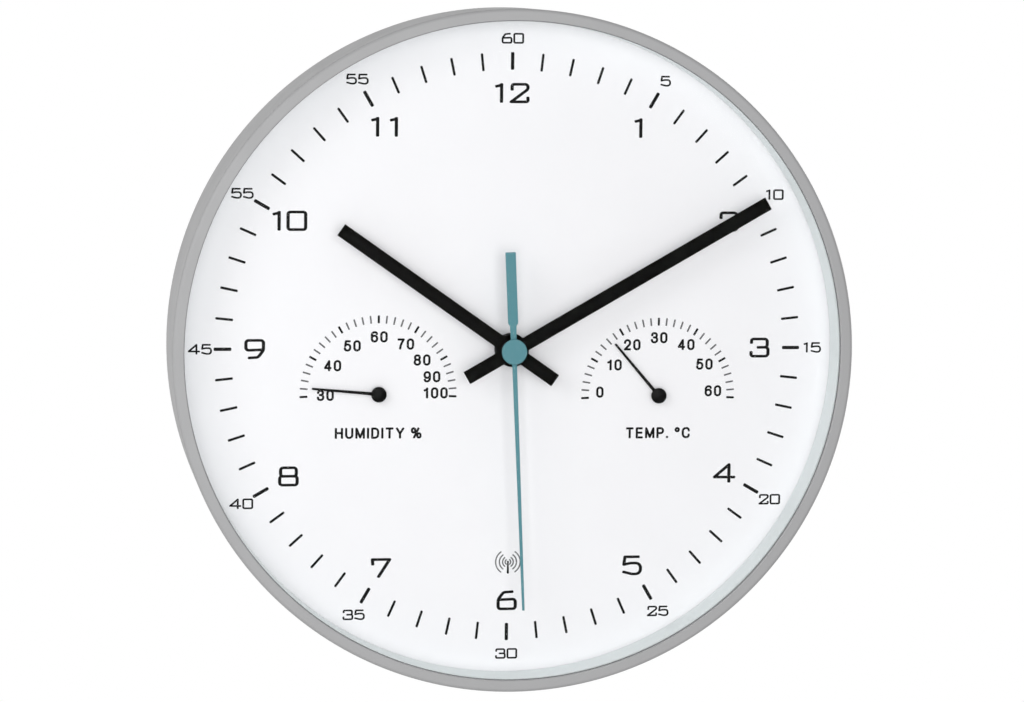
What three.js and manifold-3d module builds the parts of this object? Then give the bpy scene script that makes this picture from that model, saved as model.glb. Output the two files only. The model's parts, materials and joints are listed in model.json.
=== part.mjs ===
// Radio-controlled wall clock with a humidity and a temperature pointer in its dial.
// Millimetres. +Z is up, the dial looks along -Y and the wall is the plane Y = 0.
// The origin is the point of the wall where the hook carries the clock.
// A depth is a distance from the wall towards the viewer, so Y is minus the depth.
import * as THREE from 'three';
import { mergeVertices } from 'three/addons/utils/BufferGeometryUtils.js';
import Module from 'manifold-3d';

const wasm = await Module();
wasm.setup();

// Clearances
const TOUCH = 0.3; // between pieces that rest on each other
const PIVOT_PLAY = 0.25; // round a turning arbor
const RING_PLAY = 0.5; // between the ring's wall and what it holds
const MOVEMENT_PLAY = 1; // round the movement in the rear shell
const GEAR_PLAY = 0.6; // between wheels of neighbouring layers
const OVERCUT = 1; // past a face, so that a cut goes right through it
const OVERLAP = 1; // into the solid that a solid is joined to

// Case
const CASE_RADIUS = 125;
const RING_WALL = 2.2;
const LIP_WIDTH = 4.2;
const LIP_THICKNESS = 1.7;
const LIP_ROUNDING = 0.9;
const GROOVE_DEPTH = 1;
const GROOVE_WIDTH = 2;
const GROOVE_SETBACK = 8;
const GLASS_THICKNESS = 2;
const SPACER_WALL = 1.7;
const DIAL_THICKNESS = 1.3;
const SHELL_SETBACK = 2.5;
const SHELL_WALL = 2;
const SHELL_HOOKS = 6;
const HOOK_ARC = 8; // degrees
const VENT_LENGTH = 22;
const VENT_WIDTH = 2;
const VENT_PITCH = 5;
const VENTS = 5;
const ROUND_SIDES = 60; // of the case's circles
const HUB_SIDES = 20; // of hubs, cups and caps
const FINE_SIDES = 12; // of screws, arbors and bores
const LIP_STEPS = 3; // of the lip's rounding
const CAP_STEPS = 2; // of a cap's rounding
const HOOK_STEPS = 3; // along a snap hook

// Screws that join the dial to the shell
const DIAL_SCREWS = 4;
const SCREW_RADIUS = 1.2;
const SCREW_HEAD_RADIUS = 2.8;
const SCREW_HEAD_HEIGHT = 1.8;
const SCREW_INSET = 17.3; // from the dial's edge to a screw
const BOSS_RADIUS = 3.5;
const BOSS_HEIGHT = 3.4;
const BOSS_FLOOR = 0.5;
const POST_RADIUS = 4;
const POST_SEAT = 2;

// Hanger
const HOOK_INSET = 30.3; // from the dial's edge down to the hook
const HANGER_WIDTH = 34;
const HANGER_THICKNESS = 1;
const HANGER_MARGIN = 8; // of plate above the hook and below the entry's centre
const KEYHOLE_RADIUS = 5;
const KEYHOLE_DROP = 12; // from the hook down to the entry's centre
const KEYHOLE_SLOT = 5;
const KEYHOLE_SLOT_STEPS = 8;
const KEYHOLE_ENTRY_STEPS = 20;
const HANGER_SCREW_INSET = 4.5; // from the plate's side edge to a screw
const HANGER_HEAD_RADIUS = 2.4;
const HANGER_HEAD_HEIGHT = 0.6;
const HANGER_BOSS_RADIUS = 3;
const HANGER_BOSS_HEIGHT = 4;

// Hands
const SHOWN_HOUR = 10;
const SHOWN_MINUTE = 10;
const SHOWN_SECOND = 29.55;
const HAND_WIDTH = 5;
const HAND_THICKNESS = 0.8;
const HAND_SETBACK = 0.3; // from a boss's front face to its blade
const HOUR_TIP_INSET = 43.3; // from the spacer's inner edge
const MINUTE_TIP_INSET = 11.8;
const SECOND_TIP_INSET = 24.7;
const HOUR_TAIL = 19.4;
const MINUTE_TAIL = 19.7;
const HOUR_BOSS_RADIUS = 6;
const HOUR_BOSS_HEIGHT = 6.4;
const MINUTE_BOSS_RADIUS = 4.9;
const MINUTE_BOSS_HEIGHT = 1.7;
const SECOND_ROOT_WIDTH = 1.8;
const SECOND_TIP_WIDTH = 0.9;
const SECOND_NECK_WIDTH = 2.4;
const SECOND_NECK_LENGTH = 9;
const SECOND_TAIL_WIDTH = 3.6;
const SECOND_TAIL = 36.5;
const SECOND_TAPER = 1.6;
const SECOND_HAND_THICKNESS = 0.6;
const SECOND_HUB_RADIUS = 1.6;
const SECOND_HUB_HEIGHT = 0.7;
const CAP_RADIUS = 4.65;
const CAP_THICKNESS = 1;
const CAP_ROUNDING = 0.3;
const GLASS_CLEARANCE = 1.1; // from the cap to the glass

// Movement
const MOVEMENT_SETBACK = 2.6;
const MOVEMENT_WALL = 1.5;
const BOARD_ROOM = 2.9;
const BOARD_THICKNESS = 0.8;
const BOARD_PLAY = 0.4;
const BRIDGE_THICKNESS = 0.8;
const BRIDGE_WIDTH = 52;
const BRIDGE_PLAY = 0.5;
const WHEEL_THICKNESS = 1;
const STATOR_THICKNESS = 0.8;
const STATOR_PLAY = 0.4;
const COVER_ROOM = 1;
const WASHER_RADIUS = 9;
const WASHER_THICKNESS = 1.1;
const NUT_ACROSS_FLATS = 10;
const NUT_THICKNESS = 2;
const BUSHING_WALL = 1.4;
const PILLAR_RADIUS = 1.5;
const PILLAR_INSET = 5;
const PILLAR_GAP = 1.2; // from the motion wheel to the top pillar
const BRIDGE_TAB_HALF = 4;
const TAB_HALF_WIDTH = 8;
const TAB_THICKNESS = 1.2;
const TAB_LENGTH = 8;
const CATCH_HALF_WIDTH = 2.5;
const CATCH_HEIGHT = 1.5;
const CATCH_SETBACK = 3.2;

// Gear train
const GEAR_MODULE = 0.4;
const ADDENDUM = 0.9; // in modules
const DEDENDUM = 1.25; // in modules
const TOOTH_ROOT_SHARE = 0.5; // of the pitch
const TOOTH_TIP_SHARE = 0.2;
const PINION_TEETH = 8;
const CANNON_TEETH = 10;
const TRANSFER_TEETH = 40;
const HAND_WHEEL_TEETH = 48;
const MOTION_TEETH = 30;
const HOUR_TEETH = 32;
const PINION_OVERHANG = 0.2;
const TRANSFER_ANGLE = 30; // degrees above the horizontal
const ROTOR_ANGLE = 10;
const ARBOR_RADIUS = 0.5;
const ARBOR_SEAT = 1;
const SECONDS_SHAFT_RADIUS = 0.6;
const MINUTE_TUBE_WALL = 0.5;
const HOUR_TUBE_WALL = 0.65;
const CAVITY_MARGIN = 1.84; // below the seconds wheel

// Motors
const MAGNET_RADIUS = 3;
const MAGNET_LENGTH = 2.5;
const MAGNET_GAP = 0.5;
const STATOR_INNER = 7; // from the rotor towards the hands' axis
const STATOR_OUTER = 8.8;
const STATOR_FOOT = 5;
const STATOR_LIMB = 3.2;
const STATOR_YOKE = 5.2; // above the rotor
const COIL_RISE = 13.7; // from the rotor up to the coil
const COIL_RADIUS = 3.6;
const COIL_HEADROOM = 2.9;
const STATOR_WALL_GAP = 0.55;
const MOTOR_POST_RADIUS = 1.2;
const MOTOR_POST_INSET = 1.6;

// Antenna
const ROD_RADIUS = 3.6;
const ROD_DEPTH = 7.4; // from the case floor to the rod's axis
const ROD_MARGIN = 2.5;
const ANTENNA_COIL_WALL = 0.5;
const ANTENNA_COIL_LENGTH = 28;
const ANTENNA_PLAY = 0.35;
const ANTENNA_OFFSET = 2.5; // from the train's cavity to the antenna's
const CRADLE_WIDTH = 2;
const CRADLE_INSET = 3;

// Battery, size AA
const BATTERY_RADIUS = 7.1;
const BATTERY_BODY = 49.5;
const BATTERY_NUB = 1;
const BATTERY_NUB_RADIUS = 2.75;
const BATTERY_INSET = 0.5; // behind the bay's mouth
const BATTERY_PLAY = 0.4;
const BAY_SIDE_PLAY = 1.15;
const BAY_WALL = 1.2;
const BAY_END_WALL = 2;
const CONTACT_ROOM = 2.75;
const CONTACT_SHEET = 0.4;
const CONTACT_HALF_HEIGHT = 6;
const CONTACT_HALF_WIDTH = 4;
const CONTACT_BEND = 3.2;

// Board parts and buttons
const BOARD_SIDE_MARGIN = 1;
const BOARD_BOTTOM_MARGIN = 1.3;
const BOARD_TOP_MARGIN = 0.5;
const BOARD_POST_RADIUS = 1.2;
const BOARD_POST_INSET = 2.2;
const CHIP_SIZE = 8;
const CHIP_THICKNESS = 1;
const CHIP_RISE = 2;
const CRYSTAL_RADIUS = 1;
const CRYSTAL_LENGTH = 6;
const CRYSTAL_OFFSET = 14;
const SWITCH_SIZE = 4;
const SWITCH_THICKNESS = 0.8;
const BUTTON_RADIUS = 2;
const BUTTON_PROUD = 1;
const BUTTON_FLANGE = 0.8;
const BUTTON_FLANGE_THICKNESS = 0.6;
const BUTTON_SPACING = 14;
const BUTTON_DROP = 9.5; // from the top of the train's cavity

// Humidity and temperature instruments
const HYGRO_GAP = 6; // from the movement to the housing
const THERMO_GAP = 1.3;
const HYGRO_RISE = -16.7; // above the hands' axis
const THERMO_RISE = -17.6;
const HYGRO_SHOWN = -84.3; // degrees clockwise from twelve
const THERMO_SHOWN = -41.2;
const HYGRO_POINTER = 24.7;
const THERMO_POINTER = 25.3;
const HOUSING_RADIUS = 12.5;
const HOUSING_DEPTH = 11.4;
const HOUSING_WALL = 1;
const HOUSING_VENTS = 6;
const HOUSING_VENT_RADIUS = 1.5;
const HOUSING_VENT_CIRCLE = 6.5;
const COIL_POST_RADIUS = 0.9;
const COIL_POST_INSET = 1.4; // from the housing's inner wall to the post's axis
const COIL_TURNS = 4;
const COIL_SHEET = 0.35;
const COIL_WIDTH = 4.5;
const COIL_SETBACK = 2.5; // from the housing's floor
const COIL_STEPS = 10; // for each turn
const SPINDLE_RADIUS = 0.8;
const SPINDLE_HUB_WALL = 0.5;
const POINTER_ROOT_WIDTH = 0.95;
const POINTER_TIP_WIDTH = 0.6;
const POINTER_THICKNESS = 0.4;
const POINTER_HUB_WALL = 0.5;
const POINTER_HUB_HEIGHT = 1.1;
const POINTER_CAP_RADIUS = 2.85;
const POINTER_CAP_HEIGHT = 1.3;
const POINTER_CAP_ROUNDING = 0.7;
const POINTER_CAP_FLOOR = 0.5;

// Depths, layer by layer from the wall to the front
const caseFloor = MOVEMENT_SETBACK + MOVEMENT_WALL;
const boardBack = caseFloor + BOARD_ROOM;
const boardFront = boardBack + BOARD_THICKNESS;
const bridgeBack = boardFront + BOARD_PLAY;
const bridgeFront = bridgeBack + BRIDGE_THICKNESS;
const secondsWheelBack = bridgeFront + BRIDGE_PLAY;
const secondsTransferBack = secondsWheelBack + WHEEL_THICKNESS + GEAR_PLAY;
const statorBack = secondsTransferBack + WHEEL_THICKNESS + STATOR_PLAY;
const statorFront = statorBack + STATOR_THICKNESS;
const minuteWheelBack = statorFront + STATOR_PLAY;
const minutesTransferBack = minuteWheelBack + WHEEL_THICKNESS + GEAR_PLAY;
const motionWheelBack = minutesTransferBack + WHEEL_THICKNESS + GEAR_PLAY;
const hourWheelBack = motionWheelBack + WHEEL_THICKNESS + GEAR_PLAY;
const trainFront = hourWheelBack + WHEEL_THICKNESS + COVER_ROOM;
const batteryDepth = MOVEMENT_SETBACK + BATTERY_INSET + BATTERY_RADIUS;
const bayRoof = batteryDepth + BATTERY_RADIUS + BATTERY_PLAY;
const coverBack = Math.max(trainFront, bayRoof + BAY_WALL + TOUCH);
const caseFront = coverBack - TOUCH;
const coverFront = coverBack + MOVEMENT_WALL;
const washerBack = coverFront + TOUCH;
const washerFront = washerBack + WASHER_THICKNESS;
const dialBack = washerFront + TOUCH;
const dialFace = dialBack + DIAL_THICKNESS;
const nutBack = dialFace + TOUCH;
const nutFront = nutBack + NUT_THICKNESS;
const hourBossBack = nutFront + TOUCH;
const hourBossFront = hourBossBack + HOUR_BOSS_HEIGHT;
const minuteBossBack = hourBossFront + TOUCH;
const minuteBossFront = minuteBossBack + MINUTE_BOSS_HEIGHT;
const secondHubBack = minuteBossFront + TOUCH;
const secondHandBack = secondHubBack + SECOND_HUB_HEIGHT;
const secondHandFront = secondHandBack + SECOND_HAND_THICKNESS;
const capBack = secondHandFront + TOUCH;
const capFront = capBack + CAP_THICKNESS;
const glassBack = capFront + GLASS_CLEARANCE;
const glassFront = glassBack + GLASS_THICKNESS;
const lipBack = glassFront + TOUCH;
const caseDepth = lipBack + LIP_THICKNESS;
const shellFloor = SHELL_SETBACK + SHELL_WALL;
const shellRim = dialBack - TOUCH;
const hangerFront = SHELL_SETBACK - TOUCH;
const hangerBack = hangerFront - HANGER_THICKNESS;

// Radii, from the hands' axis outwards and from the ring's wall inwards
const minuteTubeBore = SECONDS_SHAFT_RADIUS + PIVOT_PLAY;
const minuteTubeRadius = minuteTubeBore + MINUTE_TUBE_WALL;
const hourTubeBore = minuteTubeRadius + TOUCH;
const hourTubeRadius = hourTubeBore + HOUR_TUBE_WALL;
const bushingBore = hourTubeRadius + TOUCH;
const bushingRadius = bushingBore + BUSHING_WALL;
const threadBore = bushingRadius + TOUCH;
const pivotBore = ARBOR_RADIUS + PIVOT_PLAY;
const ringInner = CASE_RADIUS - RING_WALL;
const fitRadius = ringInner - RING_PLAY;
const spacerInner = fitRadius - SPACER_WALL;
const shellInner = fitRadius - SHELL_WALL;
const screwCircle = fitRadius - SCREW_INSET;
const screwBore = SCREW_RADIUS + TOUCH;
const hookRise = fitRadius - HOOK_INSET;

// Gear centres in the dial's plane, right and up from the hands' axis
const pitchRadius = (teeth) => (GEAR_MODULE * teeth) / 2;
const tipRadius = (teeth) => pitchRadius(teeth) + ADDENDUM * GEAR_MODULE;
const meshDistance = (one, other) => pitchRadius(one) + pitchRadius(other);
const radians = (degrees) => (degrees * Math.PI) / 180;
const point = (x, z) => new THREE.Vector2(x, z);

function polar(distance, degrees) {
  return point(distance * Math.cos(radians(degrees)), distance * Math.sin(radians(degrees)));
}

const mirrored = (place) => point(-place.x, place.y);
const handAxis = point(0, 0);
const motionCentre = point(0, meshDistance(CANNON_TEETH, MOTION_TEETH));
const minutesTransferCentre = polar(meshDistance(HAND_WHEEL_TEETH, PINION_TEETH), TRANSFER_ANGLE);
const minutesRotorCentre = polar(meshDistance(TRANSFER_TEETH, PINION_TEETH), ROTOR_ANGLE)
  .add(minutesTransferCentre);
const secondsTransferCentre = mirrored(minutesTransferCentre);
const secondsRotorCentre = mirrored(minutesRotorCentre);
const train = [
  handAxis,
  secondsTransferCentre,
  secondsRotorCentre,
  minutesTransferCentre,
  minutesRotorCentre,
];

// The movement's outline, round the train, the battery and the antenna
const coilRise = minutesRotorCentre.y + COIL_RISE;
const cavitySide = minutesRotorCentre.x + STATOR_OUTER + STATOR_WALL_GAP;
const cavityTop = coilRise + COIL_RADIUS + COIL_HEADROOM;
const cavityBottom = -(tipRadius(HAND_WHEEL_TEETH) + CAVITY_MARGIN);
const antennaCoilRadius = ROD_RADIUS + TOUCH + ANTENNA_COIL_WALL;
const antennaLeft = cavitySide + ANTENNA_OFFSET;
const antennaRight = antennaLeft + 2 * (antennaCoilRadius + ANTENNA_PLAY);
const antennaMiddle = (antennaLeft + antennaRight) / 2;
const antennaDepth = caseFloor + ROD_DEPTH;
const bayTop = cavityBottom - BAY_WALL;
const bayBottom = bayTop - 2 * (BATTERY_RADIUS + BAY_SIDE_PLAY);
const bayRight = antennaLeft - BAY_END_WALL;
const bayLeft = bayRight - BATTERY_BODY - BATTERY_NUB - 2 * CONTACT_ROOM;
const batteryRise = (bayTop + bayBottom) / 2;
const movementLeft = Math.min(-cavitySide, bayLeft) - MOVEMENT_WALL;
const movementRight = antennaRight + MOVEMENT_WALL;
const movementTop = cavityTop + MOVEMENT_WALL;
const movementBottom = bayBottom - MOVEMENT_WALL;
const rodTop = cavityTop - ROD_MARGIN;
const rodBottom = bayBottom + ROD_MARGIN;
const catchMiddle = caseFront - CATCH_SETBACK - CATCH_HEIGHT / 2;
const topPillar = point(0, motionCentre.y + tipRadius(MOTION_TEETH) + PILLAR_GAP + PILLAR_RADIUS);
const lowPillar = point(cavitySide - PILLAR_INSET, cavityBottom + PILLAR_INSET);
const pillars = [topPillar, lowPillar, mirrored(lowPillar)];
const buttonRise = cavityTop - BUTTON_DROP;

// Instruments behind the dial, each with its own pointer
const instruments = [
  {
    name: 'hygro',
    centre: point(movementLeft - HYGRO_GAP - HOUSING_RADIUS, HYGRO_RISE),
    pointer: HYGRO_POINTER,
    shown: HYGRO_SHOWN,
  },
  {
    name: 'thermo',
    centre: point(movementRight + THERMO_GAP + HOUSING_RADIUS, THERMO_RISE),
    pointer: THERMO_POINTER,
    shown: THERMO_SHOWN,
  },
];

// Finishes
function finish(color, roughness, metalness = 0) {
  return new THREE.MeshStandardMaterial({ color, roughness, metalness });
}

const silver = finish(0xb9b9ba, 0.35, 0.6);
const clear = finish(0xf2f6f6, 0.05);
clear.transparent = true;
clear.opacity = 0.25;
const white = finish(0xf5f5f7, 0.55);
const paleWhite = finish(0xe4e9e8, 0.6);
const black = finish(0x0e0e0d, 0.4);
const movementBlack = finish(0x1c1c1e, 0.6);
const teal = finish(0x629499, 0.45);
const brass = finish(0xb08d4a, 0.35, 1);
const steel = finish(0x9a9c9f, 0.35, 1);
const rubber = finish(0x202020, 0.9);
const boardGreen = finish(0x1d5b3a, 0.5);
const copper = finish(0xa4583a, 0.4, 0.8);
const ferrite = finish(0x35363a, 0.7);
const gearPlastic = finish(0xe8e4d8, 0.5);
const wrap = finish(0x6d7f8c, 0.4);
const buttonGrey = finish(0xc9cacb, 0.5);

// Solids. Outlines are seen from the front, as right and up from the hands' axis.
function facesOut(positions, triangles) {
  let volume = 0;
  const corner = (i) => new THREE.Vector3().fromArray(positions, 3 * i);
  for (let i = 0; i < triangles.length; i += 3) {
    const [a, b, c] = triangles.slice(i, i + 3).map(corner);
    volume += a.dot(b.cross(c));
  }
  return volume > 0 ? triangles : [...triangles].reverse();
}

function solid(geometry) {
  const bare = new THREE.BufferGeometry();
  bare.setAttribute('position', geometry.getAttribute('position'));
  bare.setIndex(geometry.getIndex());
  const merged = mergeVertices(bare);
  const positions = merged.getAttribute('position').array;
  const corners = [...merged.getIndex().array];
  const triangles = [];
  for (let i = 0; i < corners.length; i += 3) {
    const [a, b, c] = corners.slice(i, i + 3);
    if (a !== b && b !== c && c !== a) triangles.push(a, b, c);
  }
  const outward = facesOut(positions, triangles);
  const vertProperties = new Float32Array(positions);
  const triVerts = new Uint32Array(outward);
  return new wasm.Manifold(new wasm.Mesh({ numProp: 3, vertProperties, triVerts }));
}

function arc(x, z, radius, from, to, steps) {
  return Array.from({ length: steps + 1 }, (_, i) => {
    const angle = radians(from + ((to - from) * i) / steps);
    return point(x + radius * Math.cos(angle), z + radius * Math.sin(angle));
  });
}

const circle = (x, z, radius, sides = FINE_SIDES) => arc(x, z, radius, 0, 360, sides).slice(0, sides);

function rectangle(left, right, bottom, top) {
  return [point(left, bottom), point(right, bottom), point(right, top), point(left, top)];
}

function slab(outline, back, front, holes = []) {
  const clockwise = THREE.ShapeUtils.isClockWise(outline);
  const shape = new THREE.Shape(clockwise ? [...outline].reverse() : outline);
  shape.holes = holes.map((hole) => new THREE.Path(hole));
  const geometry = new THREE.ExtrudeGeometry(shape, { depth: front - back, bevelEnabled: false });
  geometry.rotateX(Math.PI / 2);
  geometry.translate(0, -back, 0);
  return solid(geometry);
}

const block = (left, right, bottom, top, back, front) =>
  slab(rectangle(left, right, bottom, top), back, front);

const disc = (place, radius, back, front, sides = FINE_SIDES) =>
  slab(circle(place.x, place.y, radius, sides), back, front);

// A profile of [radius, depth] pairs, turned about the hands' axis
function turned(profile, sides) {
  const points = profile.map(([radius, depth]) => new THREE.Vector2(radius, -depth));
  return solid(new THREE.LatheGeometry(points, sides));
}

function barAcross(left, right, rise, depth, radius, sides = FINE_SIDES) {
  const geometry = new THREE.CylinderGeometry(radius, radius, right - left, sides);
  geometry.rotateZ(Math.PI / 2);
  geometry.translate((left + right) / 2, -depth, rise);
  return solid(geometry);
}

function barUp(x, depth, bottom, top, radius, sides = HUB_SIDES) {
  const geometry = new THREE.CylinderGeometry(radius, radius, top - bottom, sides);
  geometry.rotateX(Math.PI / 2);
  geometry.translate(x, -depth, (bottom + top) / 2);
  return solid(geometry);
}

const joined = (solids) => solids.reduce((whole, next) => whole.add(next));
const cut = (whole, tools) => tools.reduce((rest, tool) => rest.subtract(tool), whole);

// A gear outline with straight-sided slender teeth, its first tooth on the right
function gearOutline(teeth) {
  const pitch = 360 / teeth;
  const root = pitchRadius(teeth) - DEDENDUM * GEAR_MODULE;
  const tip = tipRadius(teeth);
  const halfRoot = (TOOTH_ROOT_SHARE * pitch) / 2;
  const halfTip = (TOOTH_TIP_SHARE * pitch) / 2;
  return Array.from({ length: teeth }, (_, i) => [
    polar(root, i * pitch - halfRoot),
    polar(tip, i * pitch - halfTip),
    polar(tip, i * pitch + halfTip),
    polar(root, i * pitch + halfRoot),
  ]).flat();
}

const gear = (teeth, back, front) => slab(gearOutline(teeth), back, front);

// The turn that puts a gear's teeth in the gaps of the gear that it meshes with
function meshedTurn(other, otherTeeth, otherTurn, place, teeth) {
  const line = Math.atan2(place.y - other.y, place.x - other.x);
  const pitchesPast = ((line - otherTurn) * otherTeeth) / (2 * Math.PI);
  const pitchesHere = 0.5 - pitchesPast;
  return line + Math.PI - (pitchesHere * 2 * Math.PI) / teeth;
}

// The clock, drawn round the hands' axis and hung by its hook
const clock = new THREE.Group();
clock.position.z = -hookRise;

function piece(name, shape, material, place = handAxis, clockwise = 0) {
  const { vertProperties, triVerts } = shape.getMesh();
  const geometry = new THREE.BufferGeometry();
  geometry.setAttribute('position', new THREE.BufferAttribute(vertProperties, 3));
  geometry.setIndex(new THREE.BufferAttribute(triVerts, 1));
  geometry.computeVertexNormals();
  const mesh = new THREE.Mesh(geometry, material);
  mesh.name = name;
  mesh.position.set(place.x, 0, place.y);
  mesh.rotation.y = clockwise;
  clock.add(mesh);
}

// Case: ring, glass, spacer and dial
function frontRing() {
  const rounding = arc(
    CASE_RADIUS - LIP_ROUNDING, caseDepth - LIP_ROUNDING, LIP_ROUNDING, 0, 90, LIP_STEPS);
  const lipInner = CASE_RADIUS - LIP_WIDTH;
  const grooveFront = GROOVE_SETBACK + GROOVE_WIDTH;
  const profile = [
    [CASE_RADIUS, 0],
    ...rounding.map((corner) => [corner.x, corner.y]),
    [lipInner, caseDepth],
    [lipInner, lipBack],
    [ringInner, lipBack],
    [ringInner, grooveFront],
    [ringInner + GROOVE_DEPTH, grooveFront],
    [ringInner + GROOVE_DEPTH, GROOVE_SETBACK],
    [ringInner, GROOVE_SETBACK],
    [ringInner, 0],
    [CASE_RADIUS, 0],
  ];
  return turned(profile, ROUND_SIDES);
}

function spacerRing() {
  const back = dialFace + TOUCH;
  const front = glassBack - TOUCH;
  return turned([
    [spacerInner, back],
    [fitRadius, back],
    [fitRadius, front],
    [spacerInner, front],
    [spacerInner, back],
  ], ROUND_SIDES);
}

function screwPlaces() {
  const step = 360 / DIAL_SCREWS;
  return Array.from({ length: DIAL_SCREWS }, (_, i) => polar(screwCircle, step * (i + 0.5)));
}

function dialPlate() {
  const spindleHole = SPINDLE_RADIUS + TOUCH;
  const holes = [
    circle(0, 0, threadBore, HUB_SIDES),
    ...instruments.map(({ centre }) => circle(centre.x, centre.y, spindleHole)),
  ];
  const plate = slab(circle(0, 0, fitRadius, ROUND_SIDES), dialBack, dialFace, holes);
  const bosses = screwPlaces().map((place) =>
    disc(place, BOSS_RADIUS, dialBack - BOSS_HEIGHT, dialBack + BOSS_FLOOR));
  const pilots = screwPlaces().map((place) =>
    disc(place, screwBore, dialBack - BOSS_HEIGHT - TOUCH, dialBack - BOSS_FLOOR));
  return cut(joined([plate, ...bosses]), pilots);
}

const bossBack = dialBack - BOSS_HEIGHT;
const postFront = bossBack - TOUCH;
const postSeat = postFront - POST_SEAT;

function dialScrew(place) {
  const headFront = postSeat - TOUCH;
  const head = disc(place, SCREW_HEAD_RADIUS, headFront - SCREW_HEAD_HEIGHT, headFront);
  const shank = disc(place, SCREW_RADIUS, headFront - TOUCH, dialBack - BOSS_FLOOR - TOUCH);
  return head.add(shank);
}

// Rear shell: a pan with screw posts, vents, snap hooks and the movement's window
const hangerScrewSpread = HANGER_WIDTH / 2 - HANGER_SCREW_INSET;
const hangerScrews = [-hangerScrewSpread, hangerScrewSpread]
  .map((x) => point(x, hookRise - KEYHOLE_DROP / 2));

function shellHook(degrees) {
  const reach = ringInner + GROOVE_DEPTH - TOUCH;
  const from = degrees - HOOK_ARC / 2;
  const to = degrees + HOOK_ARC / 2;
  const outline = [
    ...arc(0, 0, reach, from, to, HOOK_STEPS),
    ...arc(0, 0, shellInner + TOUCH, to, from, HOOK_STEPS),
  ];
  return slab(outline, GROOVE_SETBACK + TOUCH, GROOVE_SETBACK + GROOVE_WIDTH - TOUCH);
}

function vents({ centre }) {
  return Array.from({ length: VENTS }, (_, i) => {
    const rise = centre.y + (i - (VENTS - 1) / 2) * VENT_PITCH;
    return block(
      centre.x - VENT_LENGTH / 2,
      centre.x + VENT_LENGTH / 2,
      rise - VENT_WIDTH / 2,
      rise + VENT_WIDTH / 2,
      SHELL_SETBACK - OVERCUT,
      shellFloor + OVERCUT,
    );
  });
}

function ventSide({ centre }) {
  const side = Math.sign(centre.x);
  const edge = side > 0 ? movementRight + MOVEMENT_PLAY : movementLeft - MOVEMENT_PLAY;
  const nearest = edge + side * (VENT_LENGTH / 2 + SHELL_WALL);
  return { centre: point(side * Math.max(side * centre.x, side * nearest), centre.y) };
}

function backShell() {
  const pan = turned([
    [0, SHELL_SETBACK],
    [fitRadius, SHELL_SETBACK],
    [fitRadius, shellRim],
    [shellInner, shellRim],
    [shellInner, shellFloor],
    [0, shellFloor],
  ], ROUND_SIDES);
  const hooks = Array.from({ length: SHELL_HOOKS }, (_, i) => shellHook((360 * i) / SHELL_HOOKS));
  const posts = screwPlaces().map((place) => disc(place, POST_RADIUS, SHELL_SETBACK, postFront));
  const hangerBosses = hangerScrews.map((place) =>
    disc(place, HANGER_BOSS_RADIUS, SHELL_SETBACK, shellFloor + HANGER_BOSS_HEIGHT));
  const counterbores = screwPlaces().map((place) =>
    disc(place, SCREW_HEAD_RADIUS + TOUCH, SHELL_SETBACK - OVERCUT, postSeat));
  const screwHoles = screwPlaces().map((place) =>
    disc(place, screwBore, postSeat - OVERCUT, postFront + OVERCUT));
  const hangerPilots = hangerScrews.map((place) =>
    disc(place, screwBore, SHELL_SETBACK - OVERCUT, shellFloor + HANGER_BOSS_HEIGHT - BOSS_FLOOR));
  const movementWindow = block(
    movementLeft - MOVEMENT_PLAY,
    movementRight + MOVEMENT_PLAY,
    movementBottom - MOVEMENT_PLAY,
    movementTop + MOVEMENT_PLAY,
    SHELL_SETBACK - OVERCUT,
    shellFloor + OVERCUT,
  );
  const hookRoom = KEYHOLE_RADIUS + SHELL_WALL;
  const hookWindow = block(
    -hookRoom,
    hookRoom,
    hookRise - KEYHOLE_DROP - hookRoom,
    hookRise + KEYHOLE_RADIUS,
    SHELL_SETBACK - OVERCUT,
    shellFloor + OVERCUT,
  );
  return cut(joined([pan, ...hooks, ...posts, ...hangerBosses]), [
    ...counterbores,
    ...screwHoles,
    ...hangerPilots,
    ...instruments.map(ventSide).flatMap(vents),
    movementWindow,
    hookWindow,
  ]);
}

// Hanger plate with a keyhole: a round entry below a slot that ends at the hook
function keyholeOutline() {
  const half = KEYHOLE_SLOT / 2;
  const entryRise = hookRise - KEYHOLE_DROP;
  const opening = (Math.asin(half / KEYHOLE_RADIUS) * 180) / Math.PI;
  return [
    ...arc(0, hookRise, half, 0, 180, KEYHOLE_SLOT_STEPS),
    ...arc(0, entryRise, KEYHOLE_RADIUS, 90 + opening, 450 - opening, KEYHOLE_ENTRY_STEPS),
  ];
}

function hangerPlate() {
  const outline = rectangle(
    -HANGER_WIDTH / 2,
    HANGER_WIDTH / 2,
    hookRise - KEYHOLE_DROP - HANGER_MARGIN,
    hookRise + HANGER_MARGIN,
  );
  const screwHoles = hangerScrews.map((place) => circle(place.x, place.y, screwBore));
  return slab(outline, hangerBack, hangerFront, [keyholeOutline(), ...screwHoles]);
}

function hangerScrew(place) {
  const headFront = hangerBack - TOUCH;
  const tip = shellFloor + HANGER_BOSS_HEIGHT - BOSS_FLOOR - TOUCH;
  const head = disc(place, HANGER_HEAD_RADIUS, headFront - HANGER_HEAD_HEIGHT, headFront);
  const shank = disc(place, SCREW_RADIUS, headFront - HANGER_HEAD_HEIGHT / 2, tip);
  return head.add(shank);
}

// Hands, drawn at twelve o'clock
function barHand(length, tail, bossRadius, bore, bossBackDepth, bossFrontDepth) {
  const bladeFront = bossFrontDepth - HAND_SETBACK;
  const half = HAND_WIDTH / 2;
  const blade = block(-half, half, -tail, length, bladeFront - HAND_THICKNESS, bladeFront);
  const boss = disc(handAxis, bossRadius, bossBackDepth, bossFrontDepth, HUB_SIDES);
  const hole = disc(handAxis, bore, bossBackDepth - OVERCUT, bossFrontDepth + OVERCUT);
  return blade.add(boss).subtract(hole);
}

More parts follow.
